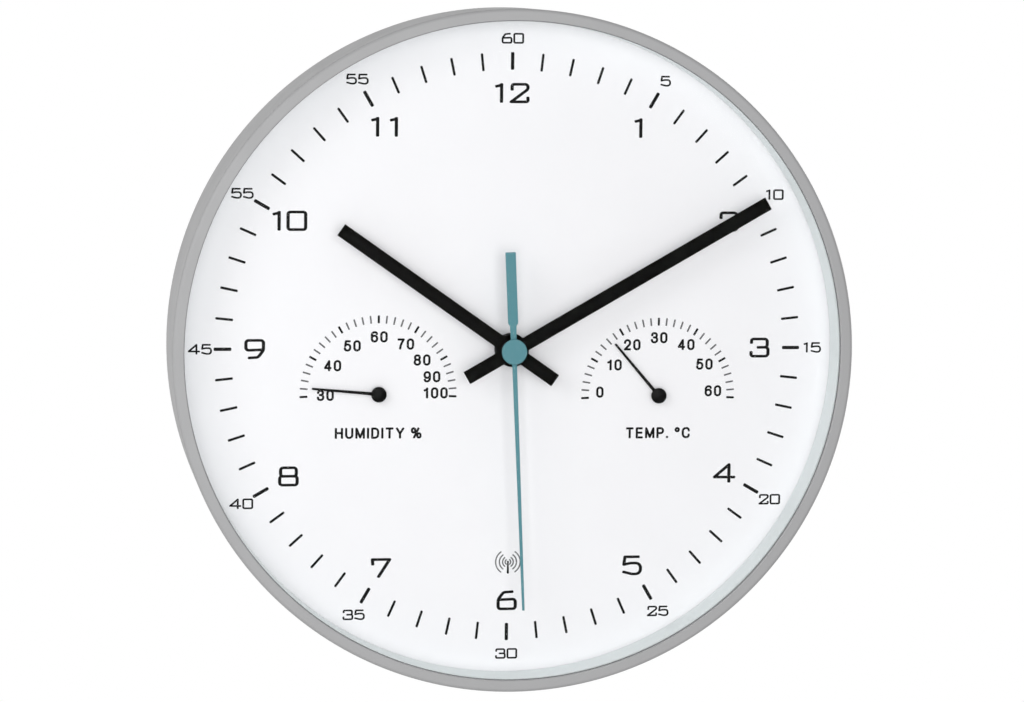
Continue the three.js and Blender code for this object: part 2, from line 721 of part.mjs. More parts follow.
function secondHand() {
  const right = [
    point(SECOND_TIP_WIDTH / 2, spacerInner - SECOND_TIP_INSET),
    point(SECOND_ROOT_WIDTH / 2, 0),
    point(SECOND_NECK_WIDTH / 2, -SECOND_NECK_LENGTH),
    point(SECOND_TAIL_WIDTH / 2, -SECOND_NECK_LENGTH - SECOND_TAPER),
    point(SECOND_TAIL_WIDTH / 2, -SECOND_TAIL),
  ];
  const left = right.map(mirrored).reverse();
  const blade = slab([...left, ...right].reverse(), secondHandBack, secondHandFront);
  const hub = disc(handAxis, SECOND_HUB_RADIUS, secondHubBack, secondHandFront);
  const shaftHole = disc(
    handAxis, SECONDS_SHAFT_RADIUS + TOUCH, secondHubBack - OVERCUT, secondHandFront + OVERCUT);
  return blade.add(hub).subtract(shaftHole);
}

function domed(radius, rounding, back, front, sides) {
  const edge = arc(radius - rounding, front - rounding, rounding, 0, 90, CAP_STEPS);
  return turned([[0, back], [radius, back], ...edge.map((at) => [at.x, at.y]), [0, front]], sides);
}

// Movement case: train and antenna room open to the front, battery bay open to the rear
function movementCase() {
  const body = block(
    movementLeft, movementRight, movementBottom, movementTop, MOVEMENT_SETBACK, caseFront);
  const past = caseFront + OVERCUT;
  const trainRoom = block(-cavitySide, antennaRight, cavityBottom, cavityTop, caseFloor, past);
  const antennaRoom = block(
    antennaLeft, antennaRight, bayBottom, cavityBottom + OVERCUT, caseFloor, past);
  const bay = block(bayLeft, bayRight, bayBottom, bayTop, MOVEMENT_SETBACK - OVERCUT, bayRoof);
  const buttonHoles = buttonPlaces().map(({ place }) =>
    disc(place, BUTTON_RADIUS + TOUCH, MOVEMENT_SETBACK - OVERCUT, caseFloor + OVERCUT));
  const hollow = cut(body, [trainRoom, antennaRoom, bay, ...buttonHoles]);
  const rodSeat = barUp(
    antennaMiddle, antennaDepth, movementBottom, movementTop, ROD_RADIUS + TOUCH);
  const cradles = [rodBottom + CRADLE_INSET, rodTop - CRADLE_INSET].map((rise) =>
    block(
      antennaLeft - TOUCH,
      antennaRight + TOUCH,
      rise - CRADLE_WIDTH / 2,
      rise + CRADLE_WIDTH / 2,
      caseFloor - TOUCH,
      antennaDepth,
    ).subtract(rodSeat));
  const boardPosts = boardPostPlaces().map((place) =>
    disc(place, BOARD_POST_RADIUS, caseFloor - TOUCH, boardBack - TOUCH));
  const catches = [
    catchBlock(movementTop - TOUCH, movementTop + TOUCH + TAB_THICKNESS),
    catchBlock(movementBottom - TOUCH - TAB_THICKNESS, movementBottom + TOUCH),
  ];
  return joined([hollow, ...cradles, ...boardPosts, ...catches]);
}

function catchBlock(bottom, top, play = 0) {
  const halfWidth = CATCH_HALF_WIDTH + play;
  const halfHeight = CATCH_HEIGHT / 2 + play;
  return block(-halfWidth, halfWidth, bottom, top, catchMiddle - halfHeight, catchMiddle + halfHeight);
}

// Movement cover: plate, threaded bushing, pillars, motor posts, a stud and two snap tabs
function movementCover() {
  const plate = block(
    movementLeft, movementRight, movementBottom, movementTop, coverBack, coverFront);
  const bushing = disc(handAxis, bushingRadius, coverBack, nutFront, HUB_SIDES);
  const stud = disc(motionCentre, ARBOR_RADIUS, motionWheelBack - TOUCH, coverFront);
  const legs = pillars.map((place) => disc(place, PILLAR_RADIUS, bridgeFront + TOUCH, coverFront));
  const posts = motorPostPlaces().map(({ place, back }) =>
    disc(place, MOTOR_POST_RADIUS, back, coverFront));
  const tabTop = movementTop + TOUCH + TAB_THICKNESS;
  const tabBottom = movementBottom - TOUCH - TAB_THICKNESS;
  const tabBlock = (bottom, top, back) =>
    block(-TAB_HALF_WIDTH, TAB_HALF_WIDTH, bottom, top, back, coverFront);
  const tabs = [
    tabBlock(movementTop - OVERLAP, tabTop, coverBack),
    tabBlock(movementTop + TOUCH, tabTop, coverBack - TAB_LENGTH),
    tabBlock(tabBottom, movementBottom + OVERLAP, coverBack),
    tabBlock(tabBottom, movementBottom - TOUCH, coverBack - TAB_LENGTH),
  ];
  const holes = [
    disc(handAxis, bushingBore, coverBack - OVERCUT, nutFront + OVERCUT),
    ...train.slice(1).map((place) =>
      disc(place, pivotBore, coverBack - OVERCUT, coverFront + OVERCUT)),
    catchBlock(movementTop + TOUCH / 2, tabTop + OVERCUT, TOUCH),
    catchBlock(tabBottom - OVERCUT, movementBottom - TOUCH / 2, TOUCH),
  ];
  return cut(joined([plate, bushing, stud, ...legs, ...posts, ...tabs]), holes);
}

function motorPostPlaces() {
  const outer = minutesRotorCentre.x + STATOR_OUTER - MOTOR_POST_INSET;
  const inner = minutesRotorCentre.x - STATOR_INNER + MOTOR_POST_INSET;
  const foot = minutesRotorCentre.y - STATOR_FOOT + MOTOR_POST_INSET;
  const coreTop = statorFront + TOUCH + STATOR_THICKNESS + TOUCH;
  const right = [
    { place: point(outer, foot), back: statorFront + TOUCH },
    { place: point(outer, coilRise), back: coreTop },
    { place: point(inner, coilRise), back: coreTop },
  ];
  return right.flatMap((post) => [post, { place: mirrored(post.place), back: post.back }]);
}

function trainBridge() {
  const half = BRIDGE_WIDTH / 2;
  const bottom = lowPillar.y - 2 * PILLAR_RADIUS;
  const shoulder = minutesRotorCentre.y + STATOR_YOKE;
  const outline = [
    point(-half, bottom),
    point(half, bottom),
    point(half, shoulder),
    point(BRIDGE_TAB_HALF, shoulder),
    point(BRIDGE_TAB_HALF, topPillar.y + PILLAR_RADIUS),
    point(-BRIDGE_TAB_HALF, topPillar.y + PILLAR_RADIUS),
    point(-BRIDGE_TAB_HALF, shoulder),
    point(-half, shoulder),
  ];
  const pivots = train.map((place, i) =>
    circle(place.x, place.y, i === 0 ? minuteTubeBore : pivotBore));
  return slab(outline, bridgeBack, bridgeFront, pivots);
}

// Gear train. An arbor turns in the bridge behind and in the cover in front.
const arborBack = bridgeBack + TOUCH / 2;
const arborFront = coverBack + ARBOR_SEAT;
const arbor = () => disc(handAxis, ARBOR_RADIUS, arborBack, arborFront);

function transferWheel(wheelBack, drivenBack) {
  return joined([
    arbor(),
    gear(TRANSFER_TEETH, wheelBack, wheelBack + WHEEL_THICKNESS),
    gear(PINION_TEETH, drivenBack - PINION_OVERHANG, wheelBack + WHEEL_THICKNESS / 2),
  ]);
}

function secondsRotor() {
  const magnetBack = secondsTransferBack + WHEEL_THICKNESS + TOUCH;
  return joined([
    arbor(),
    gear(PINION_TEETH, secondsTransferBack - PINION_OVERHANG, magnetBack + TOUCH),
    disc(handAxis, MAGNET_RADIUS, magnetBack, magnetBack + MAGNET_LENGTH),
  ]);
}

function minutesRotor() {
  const magnetFront = minutesTransferBack - TOUCH;
  const pinionFront = minutesTransferBack + WHEEL_THICKNESS + PINION_OVERHANG;
  return joined([
    arbor(),
    gear(PINION_TEETH, magnetFront - TOUCH, pinionFront),
    disc(handAxis, MAGNET_RADIUS, magnetFront - MAGNET_LENGTH, magnetFront),
  ]);
}

function minuteWheel() {
  const cannonBack = motionWheelBack - PINION_OVERHANG;
  const cannonFront = motionWheelBack + WHEEL_THICKNESS + PINION_OVERHANG;
  return joined([
    gear(HAND_WHEEL_TEETH, minuteWheelBack, minuteWheelBack + WHEEL_THICKNESS),
    disc(handAxis, minuteTubeRadius, minuteWheelBack - PINION_OVERHANG, minuteBossFront - TOUCH),
    gear(CANNON_TEETH, cannonBack, cannonFront),
  ]).subtract(disc(handAxis, minuteTubeBore, minuteWheelBack - OVERCUT, minuteBossFront));
}

function motionWheel() {
  const pinionFront = hourWheelBack + WHEEL_THICKNESS + PINION_OVERHANG;
  return gear(MOTION_TEETH, motionWheelBack, motionWheelBack + WHEEL_THICKNESS)
    .add(gear(PINION_TEETH, motionWheelBack + WHEEL_THICKNESS / 2, pinionFront))
    .subtract(disc(handAxis, pivotBore, motionWheelBack - OVERCUT, pinionFront + OVERCUT));
}

function hourWheel() {
  return gear(HOUR_TEETH, hourWheelBack, hourWheelBack + WHEEL_THICKNESS)
    .add(disc(handAxis, hourTubeRadius, hourWheelBack, hourBossFront - TOUCH))
    .subtract(disc(handAxis, hourTubeBore, hourWheelBack - OVERCUT, hourBossFront));
}

function secondsWheel() {
  return gear(HAND_WHEEL_TEETH, secondsWheelBack, secondsWheelBack + WHEEL_THICKNESS)
    .subtract(disc(handAxis, minuteTubeBore, secondsWheelBack - OVERCUT, secondsTransferBack));
}

// Motors: a stator plate on each side and a coil on a core across its two limbs
function statorPlate(side) {
  const rotor = minutesRotorCentre;
  const inner = rotor.x - STATOR_INNER;
  const outer = rotor.x + STATOR_OUTER;
  const foot = rotor.y - STATOR_FOOT;
  const yoke = rotor.y + STATOR_YOKE;
  const top = coilRise + STATOR_LIMB / 2;
  const outline = [
    point(inner, foot),
    point(outer, foot),
    point(outer, top),
    point(outer - STATOR_LIMB, top),
    point(outer - STATOR_LIMB, yoke),
    point(inner + STATOR_LIMB, yoke),
    point(inner + STATOR_LIMB, top),
    point(inner, top),
  ];
  const rotorHole = circle(rotor.x, rotor.y, MAGNET_RADIUS + MAGNET_GAP);
  const sided = (points) => points.map(({ x, y }) => point(side * x, y));
  return slab(sided(outline), statorBack, statorFront, [sided(rotorHole)]);
}

function motorCoil(side) {
  const coreBack = statorFront + TOUCH;
  const coreFront = coreBack + STATOR_THICKNESS;
  const inner = side * (minutesRotorCentre.x - STATOR_INNER);
  const outer = side * (minutesRotorCentre.x + STATOR_OUTER);
  const left = Math.min(inner, outer);
  const right = Math.max(inner, outer);
  const half = STATOR_LIMB / 2;
  const core = block(left, right, coilRise - half, coilRise + half, coreBack, coreFront);
  const reach = STATOR_LIMB + TOUCH;
  const middle = (coreBack + coreFront) / 2;
  return core.add(barAcross(left + reach, right - reach, coilRise, middle, COIL_RADIUS));
}

// Board with its parts on the rear side
const boardLeft = -cavitySide + BOARD_SIDE_MARGIN;
const boardRight = cavitySide + BOARD_SIDE_MARGIN;
const boardBottom = cavityBottom + BOARD_BOTTOM_MARGIN;
const boardTop = cavityTop - BOARD_TOP_MARGIN;

function boardPostPlaces() {
  return rectangle(
    boardLeft + BOARD_POST_INSET,
    boardRight - BOARD_POST_INSET,
    boardBottom + BOARD_POST_INSET,
    boardTop - BOARD_POST_INSET,
  );
}

const boardPartFront = boardBack - TOUCH;

function boardPart(place, size, thickness) {
  const half = size / 2;
  return block(
    place.x - half,
    place.x + half,
    place.y - half,
    place.y + half,
    boardPartFront - thickness,
    boardPartFront,
  );
}

function buttonPlaces() {
  return ['set', 'receive', 'reset'].map((name, i) => ({
    name,
    place: point((i - 1) * BUTTON_SPACING, buttonRise),
  }));
}

function button(place) {
  const flangeBack = caseFloor + TOUCH;
  const flangeFront = flangeBack + BUTTON_FLANGE_THICKNESS;
  return disc(place, BUTTON_RADIUS, MOVEMENT_SETBACK - BUTTON_PROUD, flangeFront)
    .add(disc(place, BUTTON_RADIUS + BUTTON_FLANGE, flangeBack, flangeFront));
}

// Antenna: a coil round a ferrite rod
function antennaCoil() {
  const middle = (rodTop + rodBottom) / 2;
  const bottom = middle - ANTENNA_COIL_LENGTH / 2;
  const top = middle + ANTENNA_COIL_LENGTH / 2;
  const bore = barUp(
    antennaMiddle, antennaDepth, bottom - OVERCUT, top + OVERCUT, ROD_RADIUS + TOUCH);
  return barUp(antennaMiddle, antennaDepth, bottom, top, antennaCoilRadius).subtract(bore);
}

// Battery and its two bent leaf contacts
function battery() {
  const left = bayLeft + CONTACT_ROOM;
  const right = left + BATTERY_BODY;
  const nub = barAcross(
    right - OVERLAP, right + BATTERY_NUB, batteryRise, batteryDepth, BATTERY_NUB_RADIUS);
  return barAcross(left, right, batteryRise, batteryDepth, BATTERY_RADIUS, HUB_SIDES).add(nub);
}

function contact(wall, inward) {
  const near = TOUCH;
  const far = TOUCH + CONTACT_SHEET;
  const crest = CONTACT_ROOM - TOUCH;
  const bent = [
    [near, -CONTACT_HALF_HEIGHT],
    [near, -CONTACT_BEND],
    [crest - CONTACT_SHEET, 0],
    [near, CONTACT_BEND],
    [near, CONTACT_HALF_HEIGHT],
    [far, CONTACT_HALF_HEIGHT],
    [far, CONTACT_BEND],
    [crest, 0],
    [far, -CONTACT_BEND],
    [far, -CONTACT_HALF_HEIGHT],
  ];
  const outline = bent.map(([out, forward]) =>
    new THREE.Vector2(wall + inward * out, -(batteryDepth + forward)));
  const options = { depth: 2 * CONTACT_HALF_WIDTH, bevelEnabled: false };
  const geometry = new THREE.ExtrudeGeometry(new THREE.Shape(outline), options);
  geometry.translate(0, 0, batteryRise - CONTACT_HALF_WIDTH);
  return solid(geometry);
}

// Instruments: a vented cup, a wound strip, a spindle, a pointer and its cap
const housingFront = dialBack - TOUCH;
const housingBack = housingFront - HOUSING_DEPTH;
const housingFloor = housingBack + HOUSING_WALL;
const coilPostCircle = HOUSING_RADIUS - HOUSING_WALL - COIL_POST_INSET;
const coilBack = housingFloor + COIL_SETBACK;
const coilFront = coilBack + COIL_WIDTH;
const spindleHubRadius = SPINDLE_RADIUS + SPINDLE_HUB_WALL;
const pointerBack = dialFace + TOUCH;
const pointerFront = pointerBack + POINTER_HUB_HEIGHT;
const pointerCapBack = pointerFront + TOUCH;
const pointerCapFront = pointerCapBack + POINTER_CAP_HEIGHT;

function housing() {
  const cup = turned([
    [0, housingBack],
    [HOUSING_RADIUS, housingBack],
    [HOUSING_RADIUS, housingFront],
    [HOUSING_RADIUS - HOUSING_WALL, housingFront],
    [HOUSING_RADIUS - HOUSING_WALL, housingFloor],
    [0, housingFloor],
  ], HUB_SIDES);
  const post = disc(point(coilPostCircle, 0), COIL_POST_RADIUS, housingBack, coilFront + TOUCH);
  const holes = Array.from({ length: HOUSING_VENTS }, (_, i) => {
    const place = polar(HOUSING_VENT_CIRCLE, (360 * (i + 0.5)) / HOUSING_VENTS);
    return disc(place, HOUSING_VENT_RADIUS, housingBack - OVERCUT, housingFloor + OVERCUT);
  });
  const pivot = disc(handAxis, SPINDLE_RADIUS + TOUCH, housingBack - OVERCUT, housingFloor + OVERCUT);
  return cut(cup.add(post), [...holes, pivot]);
}

function woundStrip() {
  const half = COIL_SHEET / 2;
  const inner = spindleHubRadius + TOUCH + half;
  const outer = coilPostCircle - COIL_POST_RADIUS - TOUCH - half;
  const steps = COIL_TURNS * COIL_STEPS;
  const along = (offset) => Array.from({ length: steps + 1 }, (_, i) =>
    polar(inner + ((outer - inner) * i) / steps + offset, (360 * COIL_TURNS * i) / steps));
  return slab([...along(half), ...along(-half).reverse()], coilBack, coilFront);
}

function spindle() {
  const shaftFront = pointerCapFront - POINTER_CAP_FLOOR - TOUCH;
  return disc(handAxis, SPINDLE_RADIUS, housingBack + TOUCH, shaftFront)
    .add(disc(handAxis, spindleHubRadius, coilBack - TOUCH, coilFront + TOUCH));
}

function pointer(length) {
  const tip = POINTER_TIP_WIDTH / 2;
  const root = POINTER_ROOT_WIDTH / 2;
  const needle = slab(
    [point(-root, 0), point(root, 0), point(tip, length), point(-tip, length)],
    pointerFront - POINTER_THICKNESS,
    pointerFront,
  );
  const bore = SPINDLE_RADIUS + TOUCH;
  const hub = disc(handAxis, bore + POINTER_HUB_WALL, pointerBack, pointerFront);
  return needle.add(hub)
    .subtract(disc(handAxis, bore, pointerBack - OVERCUT, pointerFront + OVERCUT));
}

function pointerCap() {
  const seat = pointerCapFront - POINTER_CAP_FLOOR;
  return domed(POINTER_CAP_RADIUS, POINTER_CAP_ROUNDING, pointerCapBack, pointerCapFront, HUB_SIDES)
    .subtract(disc(handAxis, SPINDLE_RADIUS + TOUCH, pointerCapBack - OVERCUT, seat));
}

// Assembly, from the front to the rear
piece('front_ring', frontRing(), silver);
piece('lens_glass', disc(handAxis, fitRadius, glassBack, glassFront, ROUND_SIDES), clear);
piece('spacer_ring', spacerRing(), paleWhite);
piece('dial_plate', dialPlate(), white);

const minuteTurn = radians(6 * SHOWN_MINUTE);
const hourTurn = radians(30 * SHOWN_HOUR) + minuteTurn / 12;
const secondTurn = radians(6 * SHOWN_SECOND);
const hourHand = barHand(
  spacerInner - HOUR_TIP_INSET,
  HOUR_TAIL,
  HOUR_BOSS_RADIUS,
  hourTubeRadius + TOUCH,
  hourBossBack,
  hourBossFront,
);
const minuteHand = barHand(
  spacerInner - MINUTE_TIP_INSET,
  MINUTE_TAIL,
  MINUTE_BOSS_RADIUS,
  minuteTubeRadius + TOUCH,
  minuteBossBack,
  minuteBossFront,
);
piece('hour_hand', hourHand, black, handAxis, hourTurn);
piece('minute_hand', minuteHand, black, handAxis, minuteTurn);
piece('second_hand', secondHand(), teal, handAxis, secondTurn);
piece('second_hand_cap', domed(CAP_RADIUS, CAP_ROUNDING, capBack, capFront, HUB_SIDES), teal);

for (const { name, centre, pointer: length, shown } of instruments) {
  piece(`${name}_pointer_cap`, pointerCap(), black, centre);
  piece(`${name}_pointer`, pointer(length), black, centre, radians(shown));
  piece(`${name}_spindle`, spindle(), steel, centre);
  piece(`${name}_coil`, woundStrip(), brass, centre);
  piece(`${name}_housing`, housing(), paleWhite, centre);
}

const nutOutline = circle(0, 0, NUT_ACROSS_FLATS / Math.sqrt(3), 6);
piece('center_nut', slab(nutOutline, nutBack, nutFront, [circle(0, 0, threadBore, HUB_SIDES)]), brass);
piece('dial_washer', slab(circle(0, 0, WASHER_RADIUS, HUB_SIDES), washerBack, washerFront, [
  circle(0, 0, threadBore, HUB_SIDES),
]), rubber);
piece('movement_cover', movementCover(), movementBlack);
piece('movement_case', movementCase(), movementBlack);
piece('train_bridge', trainBridge(), movementBlack);

const shaftFront = secondHandFront - TOUCH;
const secondsShaft = disc(handAxis, SECONDS_SHAFT_RADIUS, arborBack, shaftFront);
const secondsTransferTurn = meshedTurn(
  handAxis, HAND_WHEEL_TEETH, 0, secondsTransferCentre, PINION_TEETH);
const secondsRotorTurn = meshedTurn(
  secondsTransferCentre, TRANSFER_TEETH, secondsTransferTurn, secondsRotorCentre, PINION_TEETH);
const minutesTransferTurn = meshedTurn(
  handAxis, HAND_WHEEL_TEETH, 0, minutesTransferCentre, PINION_TEETH);
const minutesRotorTurn = meshedTurn(
  minutesTransferCentre, TRANSFER_TEETH, minutesTransferTurn, minutesRotorCentre, PINION_TEETH);
const motionTurn = meshedTurn(handAxis, CANNON_TEETH, 0, motionCentre, MOTION_TEETH);
const hourWheelTurn = meshedTurn(motionCentre, PINION_TEETH, motionTurn, handAxis, HOUR_TEETH);
const secondsTransfer = transferWheel(secondsTransferBack, secondsWheelBack);
const minutesTransfer = transferWheel(minutesTransferBack, minuteWheelBack);
piece('seconds_shaft', secondsShaft, steel);
piece('seconds_wheel', secondsWheel(), gearPlastic);
piece('seconds_transfer_wheel', secondsTransfer, gearPlastic, secondsTransferCentre, -secondsTransferTurn);
piece('seconds_rotor', secondsRotor(), ferrite, secondsRotorCentre, -secondsRotorTurn);
piece('minute_wheel', minuteWheel(), gearPlastic);
piece('minutes_transfer_wheel', minutesTransfer, gearPlastic, minutesTransferCentre, -minutesTransferTurn);
piece('minutes_rotor', minutesRotor(), ferrite, minutesRotorCentre, -minutesRotorTurn);
piece('motion_wheel', motionWheel(), gearPlastic, motionCentre, -motionTurn);
piece('hour_wheel', hourWheel(), gearPlastic, handAxis, -hourWheelTurn);

for (const [name, side] of [['seconds', -1], ['minutes', 1]]) {
  piece(`${name}_stator`, statorPlate(side), steel);
  piece(`${name}_coil`, motorCoil(side), copper);
}

const board = block(boardLeft, boardRight, boardBottom, boardTop, boardBack, boardFront);
const crystalDepth = boardPartFront - CRYSTAL_RADIUS;
const crystalLeft = -CRYSTAL_OFFSET - CRYSTAL_LENGTH / 2;
const crystal = barAcross(
  crystalLeft, crystalLeft + CRYSTAL_LENGTH, CHIP_RISE, crystalDepth, CRYSTAL_RADIUS);
piece('circuit_board', board, boardGreen);
piece('clock_chip', boardPart(point(0, CHIP_RISE), CHIP_SIZE, CHIP_THICKNESS), black);
piece('quartz_crystal', crystal, steel);
for (const { name, place } of buttonPlaces()) {
  piece(`${name}_switch`, boardPart(place, SWITCH_SIZE, SWITCH_THICKNESS), steel);
  piece(`${name}_button`, button(place), buttonGrey);
}

piece('ferrite_rod', barUp(antennaMiddle, antennaDepth, rodBottom, rodTop, ROD_RADIUS), ferrite);
piece('antenna_coil', antennaCoil(), copper);
piece('battery_cell', battery(), wrap);
piece('battery_contact_minus', contact(bayLeft, 1), steel);
piece('battery_contact_plus', contact(bayRight, -1), steel);

piece('back_shell', backShell(), paleWhite);
screwPlaces().forEach((place, i) => piece(`dial_screw_${i + 1}`, dialScrew(place), steel));
piece('hanger_plate', hangerPlate(), steel);
hangerScrews.forEach((place, i) => piece(`hanger_screw_${i + 1}`, hangerScrew(place), steel));

export default clock;
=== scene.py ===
import json
import math
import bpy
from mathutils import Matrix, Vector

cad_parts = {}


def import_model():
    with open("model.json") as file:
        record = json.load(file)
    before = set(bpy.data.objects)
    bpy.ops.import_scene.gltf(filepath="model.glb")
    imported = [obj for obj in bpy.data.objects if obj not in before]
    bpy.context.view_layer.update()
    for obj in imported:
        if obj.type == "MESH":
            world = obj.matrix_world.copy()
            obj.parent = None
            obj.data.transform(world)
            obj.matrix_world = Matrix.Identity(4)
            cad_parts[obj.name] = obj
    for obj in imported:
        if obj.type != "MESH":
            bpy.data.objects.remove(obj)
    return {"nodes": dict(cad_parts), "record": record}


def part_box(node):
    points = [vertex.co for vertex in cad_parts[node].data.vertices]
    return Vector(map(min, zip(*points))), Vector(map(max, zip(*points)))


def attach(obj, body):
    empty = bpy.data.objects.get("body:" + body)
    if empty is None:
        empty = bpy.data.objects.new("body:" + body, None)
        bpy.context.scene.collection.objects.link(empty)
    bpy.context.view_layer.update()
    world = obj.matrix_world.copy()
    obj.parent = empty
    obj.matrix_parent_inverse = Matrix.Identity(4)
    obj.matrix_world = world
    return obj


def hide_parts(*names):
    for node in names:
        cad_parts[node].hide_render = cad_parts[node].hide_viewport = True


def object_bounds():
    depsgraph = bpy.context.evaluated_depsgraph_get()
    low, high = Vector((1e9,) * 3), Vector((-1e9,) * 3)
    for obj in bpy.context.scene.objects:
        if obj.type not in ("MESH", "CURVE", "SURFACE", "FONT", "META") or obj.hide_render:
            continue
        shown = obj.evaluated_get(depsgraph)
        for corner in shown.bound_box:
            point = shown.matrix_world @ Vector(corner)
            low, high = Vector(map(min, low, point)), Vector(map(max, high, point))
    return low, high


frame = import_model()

from types import SimpleNamespace

import bmesh
import bpy
from mathutils import Quaternion, Vector

# A wall clock with a humidity and a temperature pointer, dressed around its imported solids.
# Shapes are drawn in millimetres as the viewer sees the dial: right and up from the
# hands' axis, and depth as the distance from the wall.
cad_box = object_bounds()
scene = bpy.context.scene
MM = 0.001
ring_low, ring_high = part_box("front_ring")
AXIS_X = (ring_low.x + ring_high.x) / 2
AXIS_Z = (ring_low.z + ring_high.z) / 2

ARC_STEP = math.radians(12)  # along a rounding
CIRCLE_TURNS = 240  # segments of the case's circles
HUB_TURNS = 96  # segments of bosses and caps
FINE_TURNS = 48  # segments of screws and buttons
RIM_STEPS = 4  # across a rounded rim
SHARP_ANGLE = math.radians(35)
INK_PROUD = 0.03
INK_SUNK = 0.02
CUT_PAST = 1  # how far a cutting tool reaches past a face
WELD = 1e-8  # metres between corners that are one


def extent(name):
    """The sides of a solid, in dial millimetres."""
    low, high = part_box(name)
    return SimpleNamespace(
        left=(low.x - AXIS_X) / MM,
        right=(high.x - AXIS_X) / MM,
        bottom=(low.z - AXIS_Z) / MM,
        top=(high.z - AXIS_Z) / MM,
        back=-high.y / MM,
        front=-low.y / MM,
    )


def places_of(name):
    """The corners of a solid in the dial's plane."""
    return [Vector(((v.co.x - AXIS_X) / MM, (v.co.z - AXIS_Z) / MM))
            for v in frame["nodes"][name].data.vertices]


def centre_of(name):
    sides = extent(name)
    return Vector(((sides.left + sides.right) / 2, (sides.bottom + sides.top) / 2))


def radius_of(name):
    sides = extent(name)
    return max(sides.right - sides.left, sides.top - sides.bottom) / 2


ORIGIN = Vector((0, 0))


def world(x, z, depth):
    return Vector((AXIS_X + x * MM, -depth * MM, AXIS_Z + z * MM))


def farthest_from(name, centre):
    """The corner of a solid that lies farthest from a centre, in the dial's plane."""
    return max(places_of(name), key=lambda place: (place - centre).length)


# Outlines


def arc(centre, radius, start, end, step=ARC_STEP):
    """Points along an arc between two angles in radians, counted from the right."""
    steps = max(2, math.ceil(abs(end - start) / step))
    turns = [start + (end - start) * i / steps for i in range(steps + 1)]
    return [centre + radius * Vector((math.cos(turn), math.sin(turn))) for turn in turns]


def circle(centre, radius, turns=HUB_TURNS):
    return arc(Vector(centre), radius, 0, math.tau, math.tau / turns)[:-1]


def rounded(corners, closed=True):
    """The line through corners, each given as x, y and the radius of its rounding."""
    points = []
    count = len(corners)
    for i, (x, y, radius) in enumerate(corners):
        here = Vector((x, y))
        if radius == 0 or (not closed and i in (0, count - 1)):
            points.append(here)
            continue
        before = (Vector(corners[i - 1][:2]) - here).normalized()
        after = (Vector(corners[(i + 1) % count][:2]) - here).normalized()
        half = before.angle(after) / 2
        centre = here + (before + after).normalized() * radius / math.sin(half)
        start = here + before * radius / math.tan(half) - centre
        end = here + after * radius / math.tan(half) - centre
        first = math.atan2(start.y, start.x)
        sweep = (math.atan2(end.y, end.x) - first + math.pi) % math.tau - math.pi
        points += arc(centre, radius, first, first + sweep)
    return points


def rectangle(left, right, bottom, top, rounding=0):
    corners = [(left, bottom), (right, bottom), (right, top), (left, top)]
    return rounded([(x, y, rounding) for x, y in corners])


def symmetrical(right_side):
    """An outline from the corners of its right side, from its foot up."""
    return rounded(right_side + [(-x, y, radius) for x, y, radius in reversed(right_side)])


def section(inner, outer, back, front, roundings):
    """The profile of a flat ring or disc, with four roundings from the inner back corner outwards."""
    corners = [(inner, back), (outer, back), (outer, front), (inner, front)]
    return rounded([(*corner, radius) for corner, radius in zip(corners, roundings)])


def domed(radius, height, steps):
    """Radii and heights over the rim of a shallow dome, from its middle to its rim."""
    crown = (radius ** 2 + height ** 2) / (2 * height)
    radii = [radius * step / steps for step in range(steps + 1)]
    return [(across, math.sqrt(crown ** 2 - across ** 2) - (crown - height)) for across in radii]


def placed(points, centre=(0, 0), clockwise=0, scale=1):
    """Points scaled, turned clockwise by degrees and moved to a centre."""
    angle = math.radians(clockwise)
    cos, sin = math.cos(angle), math.sin(angle)
    return [Vector((centre[0] + scale * (p[0] * cos + p[1] * sin),
                    centre[1] + scale * (p[1] * cos - p[0] * sin))) for p in points]


def inset(loop, distance):
    """A closed line moved to its left by a distance, with mitred corners."""
    least_slant = 0.3
    moved = []
    for i, here in enumerate(loop):
        before = (here - loop[i - 1]).normalized()
        after = (loop[(i + 1) % len(loop)] - here).normalized()
        side = Vector((-before.y - after.y, before.x + after.x)).normalized()
        slant = max(side.dot(Vector((-before.y, before.x))), least_slant)
        moved.append(here + side * distance / slant)
    return moved


# Solids


def mesh_of(solid):
    mesh = bpy.data.meshes.new("mesh")
    solid.to_mesh(mesh)
    solid.free()
    return mesh


def linked(name, data):
    """A new object in the scene."""
    obj = bpy.data.objects.new(name, data)
    scene.collection.objects.link(obj)
    return obj


def sealed(solid):
    """The mesh of a closed solid, with its faces turned out."""
    bmesh.ops.remove_doubles(solid, verts=solid.verts, dist=WELD)
    bmesh.ops.recalc_face_normals(solid, faces=solid.faces)
    return mesh_of(solid)


def wall(solid, rings):
    """Faces between each closed line and the one that follows it."""
    for ring, following in zip(rings, rings[1:]):
        for i in range(len(ring)):
            j = (i + 1) % len(ring)
            solid.faces.new((ring[i], ring[j], following[j], following[i]))


def lathe(profile, turns=CIRCLE_TURNS, centre=(0, 0), place=world):
    """A closed profile of radii and depths, turned round an axis square to the dial.

    Another place function lays the axis along another way.
    """
    solid = bmesh.new()
    rings = []
    for turn in range(turns):
        angle = math.tau * turn / turns
        spoke = Vector((math.cos(angle), math.sin(angle)))
        rings.append([solid.verts.new(place(*(Vector(centre) + spoke * radius), height))
                      for radius, height in profile])
    wall(solid, rings + rings[:1])
    return sealed(solid)


